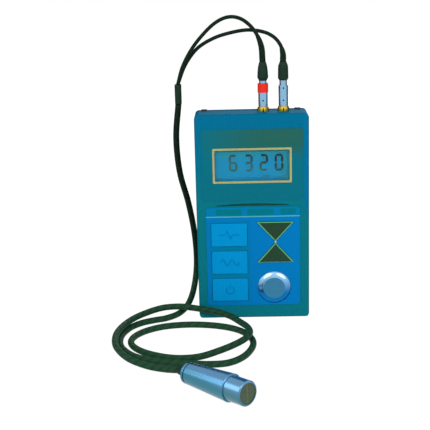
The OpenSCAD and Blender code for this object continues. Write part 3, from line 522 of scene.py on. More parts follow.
class MeshKit:
    """Small mesh builders. Every piece has its place in its mesh."""

    TUBE_SIDES = 20
    # Any direction will do that no cord starts along
    TUBE_SEAM: Point = (0.3, 1.0, 0.2)

    @staticmethod
    def link(name: str, data: bpy.types.ID) -> bpy.types.Object:
        """Puts a new object into the scene.

        Args:
            name: Name of the object.
            data: Its mesh, text, camera or light.

        Returns:
            The new object.
        """
        made = bpy.data.objects.new(name, data)
        bpy.context.scene.collection.objects.link(made)
        return made

    @staticmethod
    def solid(source: bpy.types.Object) -> bpy.types.Mesh:
        """Plain mesh of what an object's modifiers or text give."""
        return bpy.data.meshes.new_from_object(source.evaluated_get(bpy.context.evaluated_depsgraph_get()))

    @staticmethod
    def piece(
        name: str, mesh: bmesh.types.BMesh, material: bpy.types.Material, smooth: bool = False
    ) -> bpy.types.Object:
        """Turns a bmesh into an object of the scene.

        Args:
            name: Name of the piece.
            mesh: The finished bmesh, which is freed.
            material: The piece's material.
            smooth: Whether its faces are shaded smooth.

        Returns:
            The new object.
        """
        bmesh.ops.recalc_face_normals(mesh, faces=mesh.faces)
        data = bpy.data.meshes.new(name)
        mesh.to_mesh(data)
        mesh.free()
        data.polygons.foreach_set("use_smooth", [smooth] * len(data.polygons))
        data.materials.append(material)
        return MeshKit.link(name, data)

    @staticmethod
    def prism(mesh: bmesh.types.BMesh, outline: Sequence[Flat], front: float, back: float) -> None:
        """Adds a prism drawn in x and z between two depths.

        Args:
            mesh: Mesh to add to.
            outline: Corners in x and z.
            front: Depth of the front face.
            back: Depth of the back face.
        """
        near = [mesh.verts.new((x, front, z)) for x, z in outline]
        far = [mesh.verts.new((x, back, z)) for x, z in outline]
        mesh.faces.new(near)
        mesh.faces.new(list(reversed(far)))
        for i in range(len(outline)):
            j = (i + 1) % len(outline)
            mesh.faces.new((near[i], far[i], far[j], near[j]))

    @staticmethod
    def band(
        mesh: bmesh.types.BMesh,
        outer: Sequence[Flat],
        inner: Sequence[Flat],
        front: float,
        back: float,
        closed: bool = True,
    ) -> None:
        """Adds a flat band between two outlines of as many corners.

        Args:
            mesh: Mesh to add to.
            outer: Outer corners in x and z.
            inner: Inner corners in x and z.
            front: Depth of the front face.
            back: Depth of the back face.
            closed: Whether the band runs round.
        """
        rings = [
            [mesh.verts.new((x, depth, z)) for x, z in line]
            for line in (outer, inner)
            for depth in (front, back)
        ]
        outer_front, outer_back, inner_front, inner_back = rings
        count = len(outer)
        for i in range(count if closed else count - 1):
            j = (i + 1) % count
            mesh.faces.new((outer_front[i], outer_front[j], inner_front[j], inner_front[i]))
            mesh.faces.new((inner_back[i], inner_back[j], outer_back[j], outer_back[i]))
            mesh.faces.new((outer_back[i], outer_back[j], outer_front[j], outer_front[i]))
            mesh.faces.new((inner_front[i], inner_front[j], inner_back[j], inner_back[i]))
        if not closed:
            for i in (0, count - 1):
                mesh.faces.new((outer_front[i], inner_front[i], inner_back[i], outer_back[i]))

    @staticmethod
    def stroke(
        mesh: bmesh.types.BMesh, path: Sequence[Flat], width: float, front: float, back: float
    ) -> None:
        """Adds a flat pen stroke along a path in x and z.

        Args:
            mesh: Mesh to add to.
            path: Points of the stroke's middle.
            width: Width of the stroke.
            front: Depth of its front face.
            back: Depth of its back face.
        """
        left, right = [], []
        for i, point in enumerate(path):
            before = Vector(path[max(i - 1, 0)])
            after = Vector(path[min(i + 1, len(path) - 1)])
            along = (after - before).normalized()
            side = Vector((-along.y, along.x)) * width / 2
            left.append(tuple(Vector(point) + side))
            right.append(tuple(Vector(point) - side))
        MeshKit.band(mesh, left, right, front, back, closed=False)

    @staticmethod
    def tube(
        name: str, path: Sequence[Vector], radii: Sequence[float], material: bpy.types.Material
    ) -> bpy.types.Object:
        """Makes a round closed tube with a UV map: u round the tube and v metres along it.

        Args:
            name: Name of the piece.
            path: Points of the centreline.
            radii: Radius at each point.
            material: The tube's material.

        Returns:
            The new object.
        """
        sides = MeshKit.TUBE_SIDES
        turns = [2 * math.pi * k / sides for k in range(sides)]
        mesh = bmesh.new()
        layer = mesh.loops.layers.uv.new(UV_NAME)
        rings, reach, run = [], [], 0.0
        side = Vector(MeshKit.TUBE_SEAM)
        for i, (point, radius) in enumerate(zip(path, radii)):
            along = (path[min(i + 1, len(path) - 1)] - path[max(i - 1, 0)]).normalized()
            side = (side - side.dot(along) * along).normalized()
            other = along.cross(side)
            spokes = [radius * (math.cos(t) * side + math.sin(t) * other) for t in turns]
            rings.append([mesh.verts.new(point + spoke) for spoke in spokes])
            run += (point - path[i - 1]).length if i else 0.0
            reach.append(run)
        for i in range(len(path) - 1):
            for k in range(sides):
                n = (k + 1) % sides
                face = mesh.faces.new((rings[i][k], rings[i][n], rings[i + 1][n], rings[i + 1][k]))
                spots = ((k, i), (k + 1, i), (k + 1, i + 1), (k, i + 1))
                for loop, (turn, ring) in zip(face.loops, spots):
                    loop[layer].uv = (turn / sides, reach[ring])
        mesh.faces.new(list(reversed(rings[0])))
        mesh.faces.new(rings[-1])
        return MeshKit.piece(name, mesh, material, smooth=True)


@dataclass(frozen=True)
class Spot:
    """Where a repeated item goes, how it is turned and how it is stretched."""

    place: Point
    turn: Point
    stretch: Point = (1.0, 1.0, 1.0)


@dataclass(frozen=True)
class Repeater:
    """Geometry Nodes tree that sets one small item on each chosen spot."""

    TREE_NAME = "repeater"

    item: bpy.types.Object
    material: bpy.types.Material

    @staticmethod
    def _tree() -> bpy.types.NodeTree:
        """Builds the tree: an item on each point, turned and stretched by the point's own values.

        Returns:
            The tree.
        """
        tree = bpy.data.node_groups.new(Repeater.TREE_NAME, "GeometryNodeTree")
        inputs = {
            "Geometry": "NodeSocketGeometry",
            "Item": "NodeSocketObject",
            "Finish": "NodeSocketMaterial",
        }
        for label, kind in inputs.items():
            tree.interface.new_socket(label, in_out="INPUT", socket_type=kind)
        tree.interface.new_socket("Geometry", in_out="OUTPUT", socket_type="NodeSocketGeometry")
        link = tree.links.new
        source, sink = tree.nodes.new("NodeGroupInput"), tree.nodes.new("NodeGroupOutput")
        item = tree.nodes.new("GeometryNodeObjectInfo")
        points = tree.nodes.new("GeometryNodeInstanceOnPoints")
        for attribute, socket in (("turn", "Rotation"), ("stretch", "Scale")):
            named = tree.nodes.new("GeometryNodeInputNamedAttribute")
            named.data_type = "FLOAT_VECTOR"
            named.inputs["Name"].default_value = attribute
            link(named.outputs[0], points.inputs[socket])
        real = tree.nodes.new("GeometryNodeRealizeInstances")
        paint = tree.nodes.new("GeometryNodeSetMaterial")
        link(source.outputs["Item"], item.inputs["Object"])
        link(source.outputs["Geometry"], points.inputs["Points"])
        link(item.outputs["Geometry"], points.inputs["Instance"])
        link(points.outputs[0], real.inputs[0])
        link(real.outputs[0], paint.inputs["Geometry"])
        link(source.outputs["Finish"], paint.inputs["Material"])
        link(paint.outputs[0], sink.inputs[0])
        return tree

    def build(self, name: str, spots: Sequence[Spot]) -> bpy.types.Object:
        """Sets the items.

        Args:
            name: Name of the piece.
            spots: Where the items go.

        Returns:
            The items as one plain mesh.
        """
        cloud = bpy.data.meshes.new("spots")
        cloud.from_pydata([spot.place for spot in spots], [], [])
        for label, rows in (("turn", [s.turn for s in spots]), ("stretch", [s.stretch for s in spots])):
            values = cloud.attributes.new(label, "FLOAT_VECTOR", "POINT")
            values.data.foreach_set("vector", [value for row in rows for value in row])
        holder = MeshKit.link("spots", cloud)
        tree = bpy.data.node_groups.get(self.TREE_NAME) or self._tree()
        modifier = holder.modifiers.new("repeat", "NODES")
        modifier.node_group = tree
        choices = {"Item": self.item, "Finish": self.material}
        for socket in tree.interface.items_tree:
            if socket.name in choices:
                modifier[socket.identifier] = choices[socket.name]
        data = MeshKit.solid(holder)
        data.name = name
        for spare in (holder, self.item):
            bpy.data.objects.remove(spare)
        return MeshKit.link(name, data)


def smooth_path(route: Sequence[Point], steps: int, low: float) -> list[Vector]:
    """Runs a smooth curve through a route's points.

    Args:
        route: The points, in order.
        steps: Points on the curve for each stretch.
        low: Least height of the curve.

    Returns:
        The curve's points.
    """
    points = [Vector(p) for p in route]
    points = [2 * points[0] - points[1], *points, 2 * points[-1] - points[-2]]
    path = []
    for a, b, c, d in zip(points, points[1:], points[2:], points[3:]):
        for k in range(steps):
            u = k / steps
            p = 2 * b + (c - a) * u
            p += (2 * a - 5 * b + 4 * c - d) * u * u
            p += (3 * b - a - 3 * c + d) * u**3
            path.append(p / 2)
    path.append(points[-2])
    return [Vector((p.x, p.y, max(p.z, low))) for p in path]


def centre_of(node: str) -> Vector:
    """Middle of a node's box."""
    low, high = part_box(node)
    return (low + high) / 2


def dress(piece: bpy.types.Object, material: bpy.types.Material) -> None:
    """Gives a piece one material in place of what it had.

    Args:
        piece: The piece.
        material: Its only material from now on.
    """
    piece.data.materials.clear()
    piece.data.materials.append(material)
    LOG.info("%s wears %s", piece.name, material.name)


def seat(piece: bpy.types.Object, carrier: str) -> None:
    """Rides a piece of the scene's own on what carries it.

    Args:
        piece: The piece.
        carrier: Name of the body that carries it.
    """
    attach(piece, carrier)
    LOG.info("%s rides on %s", piece.name, carrier)


@dataclass(frozen=True)
class PhotoCamera:
    """Camera at the photograph's viewing angle: angles in degrees, lens and sensor in millimetres."""

    azimuth: float = 1.3
    elevation: float = 14.5
    roll: float = -1.44
    distance: float = 0.600
    target: Point = (-0.0231, 0.0, 0.0633)
    lens: float = 81.54
    sensor: float = 36.0
    clip_start: float = 0.01

    def place(self) -> None:
        """Makes the camera and sets it as the scene's."""
        azimuth, elevation, roll = map(math.radians, (self.azimuth, self.elevation, self.roll))
        reach = math.cos(elevation)
        back = Vector((math.sin(azimuth) * reach, -math.cos(azimuth) * reach, math.sin(elevation)))
        level = Vector((math.cos(azimuth), math.sin(azimuth), 0.0))
        upright = back.cross(level)
        right = math.cos(roll) * level + math.sin(roll) * upright
        up = math.cos(roll) * upright - math.sin(roll) * level
        data = bpy.data.cameras.new("photo_camera")
        data.lens = self.lens
        data.sensor_width = self.sensor
        data.clip_start = self.clip_start
        camera = MeshKit.link("photo_camera", data)
        turn = Matrix((right, up, back)).transposed().to_4x4()
        camera.matrix_world = Matrix.Translation(Vector(self.target) + back * self.distance) @ turn
        bpy.context.scene.camera = camera


@dataclass(frozen=True)
class Lamp:
    """A soft square studio lamp, its power in watts. A glint lamp shows in reflections alone."""

    name: str
    place: Point
    size: float
    power: float
    glint: bool = False

    def hang(self, target: Vector) -> None:
        """Hangs the lamp.

        Args:
            target: Where it is turned to.
        """
        data = bpy.data.lights.new(self.name, "AREA")
        data.size = self.size
        data.energy = self.power
        lamp = MeshKit.link(self.name, data)
        lamp.location = self.place
        lamp.visible_diffuse = not self.glint
        lamp.rotation_mode = "QUATERNION"
        lamp.rotation_quaternion = (target - Vector(self.place)).to_track_quat("-Z", "Y")


@dataclass(frozen=True)
class Screen:
    """A dark upright screen that shows in reflections alone."""

    name: str
    start: Flat
    end: Flat
    height: float = 0.2

    def stand(self, material: bpy.types.Material) -> None:
        """Stands the screen on the floor between its two ends.

        Args:
            material: The screen's material.
        """
        mesh = bmesh.new()
        corners = [(*self.start, 0.0), (*self.end, 0.0), (*self.end, self.height), (*self.start, self.height)]
        mesh.faces.new([mesh.verts.new(corner) for corner in corners])
        piece = MeshKit.piece(self.name, mesh, material)
        piece.visible_camera = False
        piece.visible_diffuse = False
        piece.visible_transmission = False
        piece.visible_shadow = False


@dataclass(frozen=True)
class Studio:
    """White floor and surroundings, soft lamps before and behind, dark screens behind and beside."""

    floor_size: float = 6.0
    floor_drop: float = 0.0002
    floor_glow: float = 0.9
    floor_colour: Colour = (0.9, 0.9, 0.9, 1.0)
    floor_roughness: float = 0.9
    glow_level: float = 1.08
    world_light: float = 0.38
    target: Point = (-0.02, -0.03, 0.06)
    lamps: tuple[Lamp, ...] = (
        Lamp("key_lamp", (-0.50, -0.85, 0.70), 0.6, 5.4),
        Lamp("fill_lamp", (0.60, -0.85, 0.60), 0.6, 4.2),
        Lamp("glint_lamp", (-0.91, 0.0, 0.43), 0.5, 1.5, glint=True),
        Lamp("rear_lamp", (0.20, 0.95, 0.30), 0.6, 4.0),
    )
    cloth: Finish = Finish("screen_cloth", Tint.SCREEN, roughness=1.0, specular=0.0)
    screens: tuple[Screen, ...] = (
        Screen("rear_screen", (-0.4, 0.3), (0.4, 0.3)),
        Screen("left_screen", (-0.4, -0.02), (-0.4, 0.3)),
        Screen("right_screen", (0.4, -0.02), (0.4, 0.3)),
    )

    def build(self) -> None:
        """Makes the floor, the world, the lamps and the screens."""
        bpy.context.scene.view_settings.view_transform = "Standard"
        self._floor()
        self._world()
        for lamp in self.lamps:
            lamp.hang(Vector(self.target))
        dark = self.cloth.build()
        for screen in self.screens:
            screen.stand(dark)

    @staticmethod
    def _seen(wiring: Wiring) -> bpy.types.NodeSocket:
        """Adds a mask that is 1 for camera, glossy and transmission rays.

        Args:
            wiring: The tree to add to.

        Returns:
            The mask's socket.
        """
        rays = wiring.add("LightPath").outputs
        mirrored = wiring.maths("MAXIMUM", rays["Is Glossy Ray"], rays["Is Transmission Ray"])
        return wiring.maths("MAXIMUM", rays["Is Camera Ray"], mirrored)

    def _floor(self) -> None:
        """Makes the floor, which glows white to the camera and still takes a shadow."""
        shader = Shader("floor")
        shader.fill(shader.bsdf, Base_Color=self.floor_colour, Roughness=self.floor_roughness)
        glow = shader.add("Emission", Strength=self.glow_level)
        share = shader.maths("MULTIPLY", self._seen(shader), self.floor_glow)
        blend = shader.add("MixShader")
        for socket, value in zip(blend.inputs, (share, shader.bsdf.outputs[0], glow.outputs[0])):
            shader.feed(socket, value)
        shader.fill(shader.tree.nodes["Material Output"], Surface=blend.outputs[0])
        half = self.floor_size / 2
        mesh = bmesh.new()
        corners = [(-half, -half), (half, -half), (half, half), (-half, half)]
        mesh.faces.new([mesh.verts.new((x, y, -self.floor_drop)) for x, y in corners])
        MeshKit.piece("floor", mesh, shader.material)

    def _world(self) -> None:
        """Makes the world: white to the camera and in reflections, dimmer as light."""
        world = bpy.data.worlds.new("studio")
        bpy.context.scene.world = world
        world.use_nodes = True
        wiring = Wiring(world.node_tree)
        level = wiring.add("MapRange", Value=self._seen(wiring), To_Min=self.world_light, To_Max=1.0)
        wiring.fill(world.node_tree.nodes["Background"], Color=WHITE, Strength=level.outputs[0])


@dataclass(frozen=True)
class Cord:
    """A cord: the plain solid it stands for, its measures, its route and what is on its far end."""

    SLOT = "cable_rubber"
    STEPS = 8

    node: str
    length: float
    diameter: float
    far_end: str
    route: tuple[Point, ...]

    def path(self, start: Point, end: Point, low: float = 0.0) -> list[Vector]:
        """Centreline from start to end through the route's points, nowhere below low."""
        return smooth_path((start, *self.route, end), self.STEPS, low)

    def make(self, path: Sequence[Vector], rubber: bpy.types.Material) -> bpy.types.Object:
        """Makes the cord's tube along its centreline."""
        return MeshKit.tube(f"{self.node}_cord", path, [self.diameter / 2] * len(path), rubber)

    def declare(
        self,
        piece: bpy.types.Object,
        start: Point,
        path: Sequence[Vector],
        pieces: Sequence[bpy.types.Object],
    ) -> None:
        """Rides the cord on the case, hides the plain solid it stands for and logs its number of points.

        Args:
            piece: The cord.
            start: Where it leaves; not used.
            path: Its centreline.
            pieces: The separate pieces on it; not used.
        """
        seat(piece, ROOT)
        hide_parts(self.node)
        LOG.info("%s follows %d points", piece.name, len(path))


@dataclass
class ProbeCords:
    """The two leads from the plugs to the yoke, and the cable from the yoke to the probe."""

    clearance: float = 0.00005
    # Soft tails of the boots along the leads
    tail_points: int = 14
    tail_r: float = 0.00185
    # Routes, from the boots to the yoke and from the yoke to the probe's gland
    gland_end: Point = (-0.0417, -0.10212, 0.00539)
    left: Cord = Cord("lead_left", 0.0911, 0.0022, "fitting", (
        (0.0065, -0.0005, 0.166), (0.0026, -0.0015, 0.1748), (-0.0043, -0.001, 0.1812),
        (-0.012, 0.001, 0.1828), (-0.02, 0.003, 0.1796), (-0.028, 0.005, 0.1724),
        (-0.035, 0.0065, 0.1637), (-0.0406, 0.0074, 0.1535),
    ))
    right: Cord = Cord("lead_right", 0.0902, 0.0022, "fitting", (
        (0.0193, 0.0002, 0.1612), (0.0177, 0.0007, 0.1663), (0.0139, 0.0015, 0.1707),
        (0.008, 0.0025, 0.1736), (-0.001, 0.004, 0.1748), (-0.011, 0.0056, 0.1734),
        (-0.0215, 0.0072, 0.1702), (-0.0315, 0.0088, 0.1642), (-0.039, 0.01, 0.1545),
    ))
    cable: Cord = Cord("probe_cable", 0.709, 0.0038, "tool", (
        (-0.046, 0.011, 0.11), (-0.0446, 0.0125, 0.088), (-0.04, 0.0145, 0.068),
        (-0.0367, 0.0155, 0.047), (-0.0359, 0.0147, 0.028), (-0.0378, 0.0105, 0.0135),
        (-0.041, 0.001, 0.0062), (-0.046, -0.0085, 0.0032), (-0.0536, -0.0147, 0.0021),
        (-0.0618, -0.0184, 0.002), (-0.0693, -0.023, 0.002), (-0.0754, -0.031, 0.002),
        (-0.079, -0.044, 0.002), (-0.0776, -0.0595, 0.002), (-0.0705, -0.0725, 0.002),
        (-0.061, -0.08, 0.002), (-0.0495, -0.084, 0.002), (-0.038, -0.086, 0.002),
        (-0.0263, -0.0876, 0.002), (-0.016, -0.086, 0.002), (-0.008, -0.0785, 0.002),
        (-0.003, -0.067, 0.002), (-0.0017, -0.0555, 0.002), (-0.005, -0.044, 0.002),
        (-0.0125, -0.035, 0.002), (-0.0244, -0.0291, 0.002), (-0.0396, -0.0268, 0.002),
        (-0.0545, -0.0293, 0.002), (-0.0655, -0.0365, 0.002), (-0.0715, -0.046, 0.002),
        (-0.072, -0.056, 0.002), (-0.0665, -0.066, 0.002), (-0.0565, -0.074, 0.002),
        (-0.0445, -0.0784, 0.002), (-0.032, -0.0782, 0.0026), (-0.0204, -0.0743, 0.0046),
        (-0.0116, -0.0686, 0.006), (-0.0058, -0.0607, 0.0063), (-0.0034, -0.0518, 0.0062),
        (-0.0048, -0.0425, 0.006), (-0.009, -0.033, 0.0056), (-0.0148, -0.0232, 0.0056),
        (-0.0225, -0.0168, 0.006), (-0.031, -0.0141, 0.0069), (-0.0385, -0.0132, 0.0079),
        (-0.0465, -0.012, 0.0084), (-0.0565, -0.0122, 0.0078), (-0.0662, -0.0172, 0.0066),
        (-0.0745, -0.0279, 0.0062), (-0.08, -0.0435, 0.0061), (-0.081, -0.0575, 0.0059),
        (-0.0783, -0.0705, 0.0052), (-0.0708, -0.0816, 0.0036), (-0.0603, -0.0896, 0.0027),
        (-0.05, -0.0954, 0.0031),
    ))
    probe_nodes: tuple[str, ...] = (
        "probe_gland", "probe_barrel", "probe_nose", "delay_left", "delay_right",
        "sound_barrier", "crystals", "damping_block",
    )
    # The jacket and the twist of its strands, with painted shade in the twist's grooves
    rubber: Finish = Finish(
        "cable_rubber_twist", Tint.RUBBER, roughness=0.5, specular=0.06, scale=1200.0, contrast=0.12, bump=0.0
    )
    # Painted shade: the rubber turns darker between these heights off the floor
    rubber_shade_fade: Fade = Fade(UP, 0.012, 0.035)
    twists_per_metre: float = 180.0
    twist_strands: float = 2.0
    twist_depth: float = 0.00002

    def build(self, nodes: Nodes) -> None:
        """Makes the three cords and the boots' soft tails.

        Args:
            nodes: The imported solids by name.
        """
        rubber = self._rubber()
        low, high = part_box("cable_yoke")
        middle = (low + high) / 2
        split = self.left.diameter / 2 + self.clearance
        for side, lead, shift in (("left", self.left, -split), ("right", self.right, split)):
            base = centre_of(f"boot_{side}")
            start = (base.x, base.y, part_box(f"boot_{side}")[1].z)
            path = lead.path(start, (middle.x, middle.y + shift, high.z))
            piece = lead.make(path, rubber)
            tail = self._tail(side, path, rubber)
            on_it = [f"plug_{side}", f"sleeve_{side}", f"boot_{side}", "cable_yoke"]
            pieces = [nodes[name] for name in on_it] + [tail]
            if side == "left":
                pieces.append(nodes["marker_ring"])
            lead.declare(piece, start, path, pieces)
        start = (middle.x, middle.y, low.z)
        path = self.cable.path(start, self.gland_end, self.cable.diameter / 2 + self.clearance)
        piece = self.cable.make(path, rubber)
        self.cable.declare(piece, start, path, [nodes[name] for name in self.probe_nodes])

    def _tail(self, side: str, path: Sequence[Vector], rubber: bpy.types.Material) -> bpy.types.Object:
        """Makes the soft tail of a boot along the first stretch of its lead.

        Args:
            side: Left or right.
            path: The lead's centreline.
            rubber: The lead's material, which the tail shares.

        Returns:
            The tail.
        """
        line = path[: self.tail_points]
        end_r = self.left.diameter / 2 + 2 * self.clearance
        shares = [(i / (len(line) - 1)) ** 3 for i in range(len(line))]
        radii = [self.tail_r + (end_r - self.tail_r) * share for share in shares]
        tail = MeshKit.tube(f"boot_tail_{side}", line, radii, rubber)
        seat(tail, ROOT)
        return tail

    def _rubber(self) -> bpy.types.Material:
        """Green-black jacket with painted shade that darkens it off the floor, and the faint twist of the
        strands under it with painted shade in its grooves.

        Returns:
            The jacket's material.
        """
        shader = Shader(self.rubber.name)
        uv = shader.add("UVMap")
        uv.uv_map = UV_NAME
        spot = shader.add("SeparateXYZ", Vector=uv.outputs[0]).outputs
        lay = shader.maths("MULTIPLY", spot["Y"], self.twists_per_metre)
        turn = shader.maths("MULTIPLY_ADD", spot["X"], self.twist_strands, lay)
        wave = shader.maths("SINE", shader.maths("MULTIPLY", turn, 2 * math.pi))
        strand = shader.maths("MULTIPLY_ADD", wave, 0.5, 0.5)
        # Painted shade: darker off the floor
        jacket = shader.mix(self.rubber.tint.colour, Tint.RUBBER_HIGH_SHADE.colour, self.rubber_shade_fade.mask(shader))
        # Painted shade: the grooves between the strands are darker
        twist_shade = shader.mix(jacket, Tint.TWIST_SHADE.colour, 1.0, "MULTIPLY")
        shader.bump(strand, self.twist_depth)
        return self.rubber.close(shader, shader.mix(twist_shade, jacket, strand))


class KeySymbol(Enum):
    """Plain symbols on the rectangular keys."""

    PULSE = "pulse"
    WAVE = "wave"
    POWER = "power"

    def strokes(self) -> list[list[Flat]]:
        """Pen strokes of the symbol in x and z about its middle.

        Returns:
            The points of each stroke.
        """
        steps = 24
        if self is KeySymbol.PULSE:
            half, peak = 0.0062, 0.0025
            foot, crest, dip, calm = -0.0028, -0.0014, 0.0008, 0.0020
            return [[(-half, 0.0), (foot, 0.0), (crest, peak), (dip, -peak), (calm, 0.0), (half, 0.0)]]
        if self is KeySymbol.WAVE:
            half, peak, waves = 0.0058, 0.0020, 2
            turns = [2 * math.pi * waves * i / steps for i in range(steps + 1)]
            return [[(2 * half * i / steps - half, peak * math.sin(turn)) for i, turn in enumerate(turns)]]
        gap, radius, stem = math.radians(40), 0.0025, (0.0004, 0.0032)
        span = 2 * math.pi - 2 * gap
        turns = [math.pi / 2 + gap + span * i / steps for i in range(steps + 1)]
        ring = [(radius * math.cos(turn), radius * math.sin(turn)) for turn in turns]
        return [ring, [(0.0, height) for height in stem]]


@dataclass
class FacePanel:
    """Case shells, label, keypad film and keys: the printed front of the gauge."""

    shells: tuple[str, ...] = ("front_case", "rear_case", "battery_door")
    key_names: tuple[str, ...] = ("key_top", "key_middle", "key_bottom")
    # Prints on the keys
    mark_t: float = 0.00004
    mark_w: float = 0.0009
    edge_w: float = 0.0005
    edge_t: float = 0.00006
    base_share: float = 0.4
    face_depth: float = 0.00001
    # Printed fields of the keypad film
    head_h: float = 0.0058
    line_h: float = 0.0008
    well_margin: float = 0.0018
    print_soft: float = 0.0003
    head_prints: tuple[Flat, ...] = ((-0.0225, -0.0065), (-0.0035, 0.0125), (0.0165, 0.0260))
    # Painted shade: a dark sheet on the floor of the notch under the label
    notch_half: float = 0.0220
    notch_rise: float = 0.0008
    notch_h: float = 0.0015
    notch_end_h: float = 0.0004
    notch_floor: float = -0.0108
    notch_t: float = 0.0001
    notch_steps: int = 24
    # Where the tints of the lacquer and of the label run into each other
    top_fade: Fade = Fade(UP, 0.066, 0.121)
    edge_fade: Fade = Fade(RIGHT, 0.0285, 0.033)
    edge_rise: Fade = Fade(UP, 0.055, 0.080)
    # Painted shade: the lacquer turns darker towards the rear half
    rear_shade_fade: Fade = Fade(BACK, 0.003, 0.0055)
    band_rise: Fade = Fade(UP, 0.098, 0.110)
    band_fade: Fade = Fade(RIGHT, -0.040, 0.012)
    # Finishes
    lacquer: Finish = Finish(
        "case_lacquer", Tint.CASE_LOW, roughness=0.6, specular=0.004, scale=1100.0, contrast=0.07
    )
    label: Finish = Finish(
        "label_film", Tint.LABEL, roughness=0.6, specular=0.04, scale=1300.0, contrast=0.10
    )
    film: Finish = Finish(
        "keypad_film", Tint.PANEL, roughness=0.55, specular=0.03, scale=1300.0, bump=0.00001
    )
    key: Finish = Finish("key_satin", Tint.KEY, roughness=0.5, specular=0.03, contrast=0.05)
    mark: Finish = Finish("key_print", Tint.KEY_MARK, roughness=0.5, specular=0.03)
    arrow: Finish = Finish(
        "arrow_satin", Tint.ARROW, roughness=0.5, specular=0.08, contrast=0.12, scale=700.0
    )
    edge: Finish = Finish("arrow_edge_print", Tint.ARROW_EDGE, roughness=0.5, specular=0.1, contrast=0.15)
    tip: Finish = Finish("arrow_tip_print", Tint.ARROW_TIP, roughness=0.5, specular=0.1)
    shade: Finish = Finish("notch_shade", Tint.NOTCH_SHADE, roughness=0.7, specular=0.05, contrast=0.15)

    def build(self, nodes: Nodes) -> None:
        """Dresses the shells, the printed films and the keys.

        Args:
            nodes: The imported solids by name.
        """
        lacquer = self._lacquer()
        for name in self.shells:
            dress(nodes[name], lacquer)
        dress(nodes["display_label"], self._label())
        dress(nodes["keypad_panel"], self._keypad())
        key, mark = self.key.build(), self.mark.build()
        arrow, edge = self.arrow.build(), self.edge.build()
        for name, symbol in zip(self.key_names, KeySymbol):
            dress(nodes[name], key)
            self._mark(name, symbol, mark)
        for name, sign in (("key_down", -1), ("key_up", 1)):
            dress(nodes[name], arrow)
            self._arrow_edge(nodes[name], name, sign, edge)
        self._tip_bridge()
        self._notch_shade_sheet()

    def _lacquer(self) -> bpy.types.Material:
        """Satin lacquer, bluer at the top and the right edge, greener below, with painted shade that darkens
        the rear half and so the back of the top face.

        Returns:
            The lacquer's material.
        """
        shader = Shader(self.lacquer.name)
        body = shader.mix(self.lacquer.tint.colour, Tint.CASE_TOP.colour, self.top_fade.mask(shader))
        cool = shader.maths("MULTIPLY", self.edge_fade.mask(shader), self.edge_rise.mask(shader))
        front = shader.mix(body, Tint.CASE_EDGE.colour, cool)
        # The rear half gets painted shade
        colour = shader.mix(front, Tint.CASE_REAR_SHADE.colour, self.rear_shade_fade.mask(shader))
        return self.lacquer.close(shader, colour)

    def _label(self) -> bpy.types.Material:
        """Printed film round the display, darker and greener along its top.

        Returns:
            The film's material.
        """
        shader = Shader(self.label.name)
        band = shader.maths("MULTIPLY", self.band_rise.mask(shader), self.band_fade.mask(shader))
        return self.label.close(shader, shader.mix(self.label.tint.colour, Tint.LABEL_BAND.colour, band))

    def _keypad(self) -> bpy.types.Material:
        """Blue film with a head strip, a thin line under it and a darker column of key wells.

        Returns:
            The film's material.
        """
        low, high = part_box("keypad_panel")
        well_low, well_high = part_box(self.key_names[-1])[0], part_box(self.key_names[0])[1]
        margin, half_line = self.well_margin, self.line_h / 2
        line_z = high.z - self.head_h
        span = (low.x - margin, high.x + margin)
        margin_span = (well_low.x - margin, well_high.x + margin)
        margin_rise = (well_low.z - margin, well_high.z + margin)
        print_rise = (line_z + margin / 2, high.z - margin / 2)
        fields = [
            (Tint.KEY_MARGIN, margin_span, margin_rise),
            (Tint.KEY_WELL, (well_low.x, well_high.x), (well_low.z, well_high.z)),
            (Tint.PANEL_HEAD, span, (line_z, high.z + margin)),
            (Tint.PANEL_LINE, span, (line_z - half_line, line_z + half_line)),
            *((Tint.PANEL_PRINT, print_span, print_rise) for print_span in self.head_prints),
        ]
        shader = Shader(self.film.name)
        colour: object = self.film.tint.colour
        for tint, width, height in fields:
            colour = shader.mix(colour, tint.colour, shader.printed(width, height, self.print_soft))
        return self.film.close(shader, colour)

    def _mark(self, key: str, symbol: KeySymbol, material: bpy.types.Material) -> None:
        """Prints a plain symbol on a rectangular key.

        Args:
            key: Name of the key.
            symbol: What is printed.
            material: The print's material.
        """
        middle = centre_of(key)
        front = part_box(key)[0].y
        mesh = bmesh.new()
        for path in symbol.strokes():
            placed = [(middle.x + x, middle.z + z) for x, z in path]
            MeshKit.stroke(mesh, placed, self.mark_w, front - self.mark_t, front + self.mark_t)
        seat(MeshKit.piece(f"{key}_mark", mesh, material), key)

    def _arrow_edge(
        self, piece: bpy.types.Object, key: str, sign: int, material: bpy.types.Material
    ) -> None:
        """Prints the pale outline of a triangular key.

        Args:
            piece: The key.
            key: Name of the key.
            sign: 1 where the triangle points up, -1 where it points down.
            material: The print's material.
        """
        corners = [vertex.co for vertex in piece.data.vertices]
        front = min(p.y for p in corners)
        face = [p for p in corners if p.y < front + self.face_depth]
        left, right = min(p.x for p in face), max(p.x for p in face)
        bottom, top = min(p.z for p in face), max(p.z for p in face)
        base, tip = (bottom, top) if sign > 0 else (top, bottom)
        middle, half, rise = (left + right) / 2, (right - left) / 2, top - bottom
        outer = [(middle, tip), (left, base), (right, base)]
        radius = half * rise / (half + math.hypot(half, rise))
        hub = Vector((middle, base + sign * radius))
        share = (radius - self.edge_w) / radius
        inner = [tuple(hub + (Vector(p) - hub) * share) for p in outer]
        if sign > 0:
            thin = base + self.edge_w * self.base_share
            inner[1:] = [(x, thin) for x, _ in inner[1:]]
        mesh = bmesh.new()
        MeshKit.band(mesh, outer, inner, front - self.edge_t, front + self.edge_t)
        seat(MeshKit.piece(f"{key}_edge", mesh, material), key)

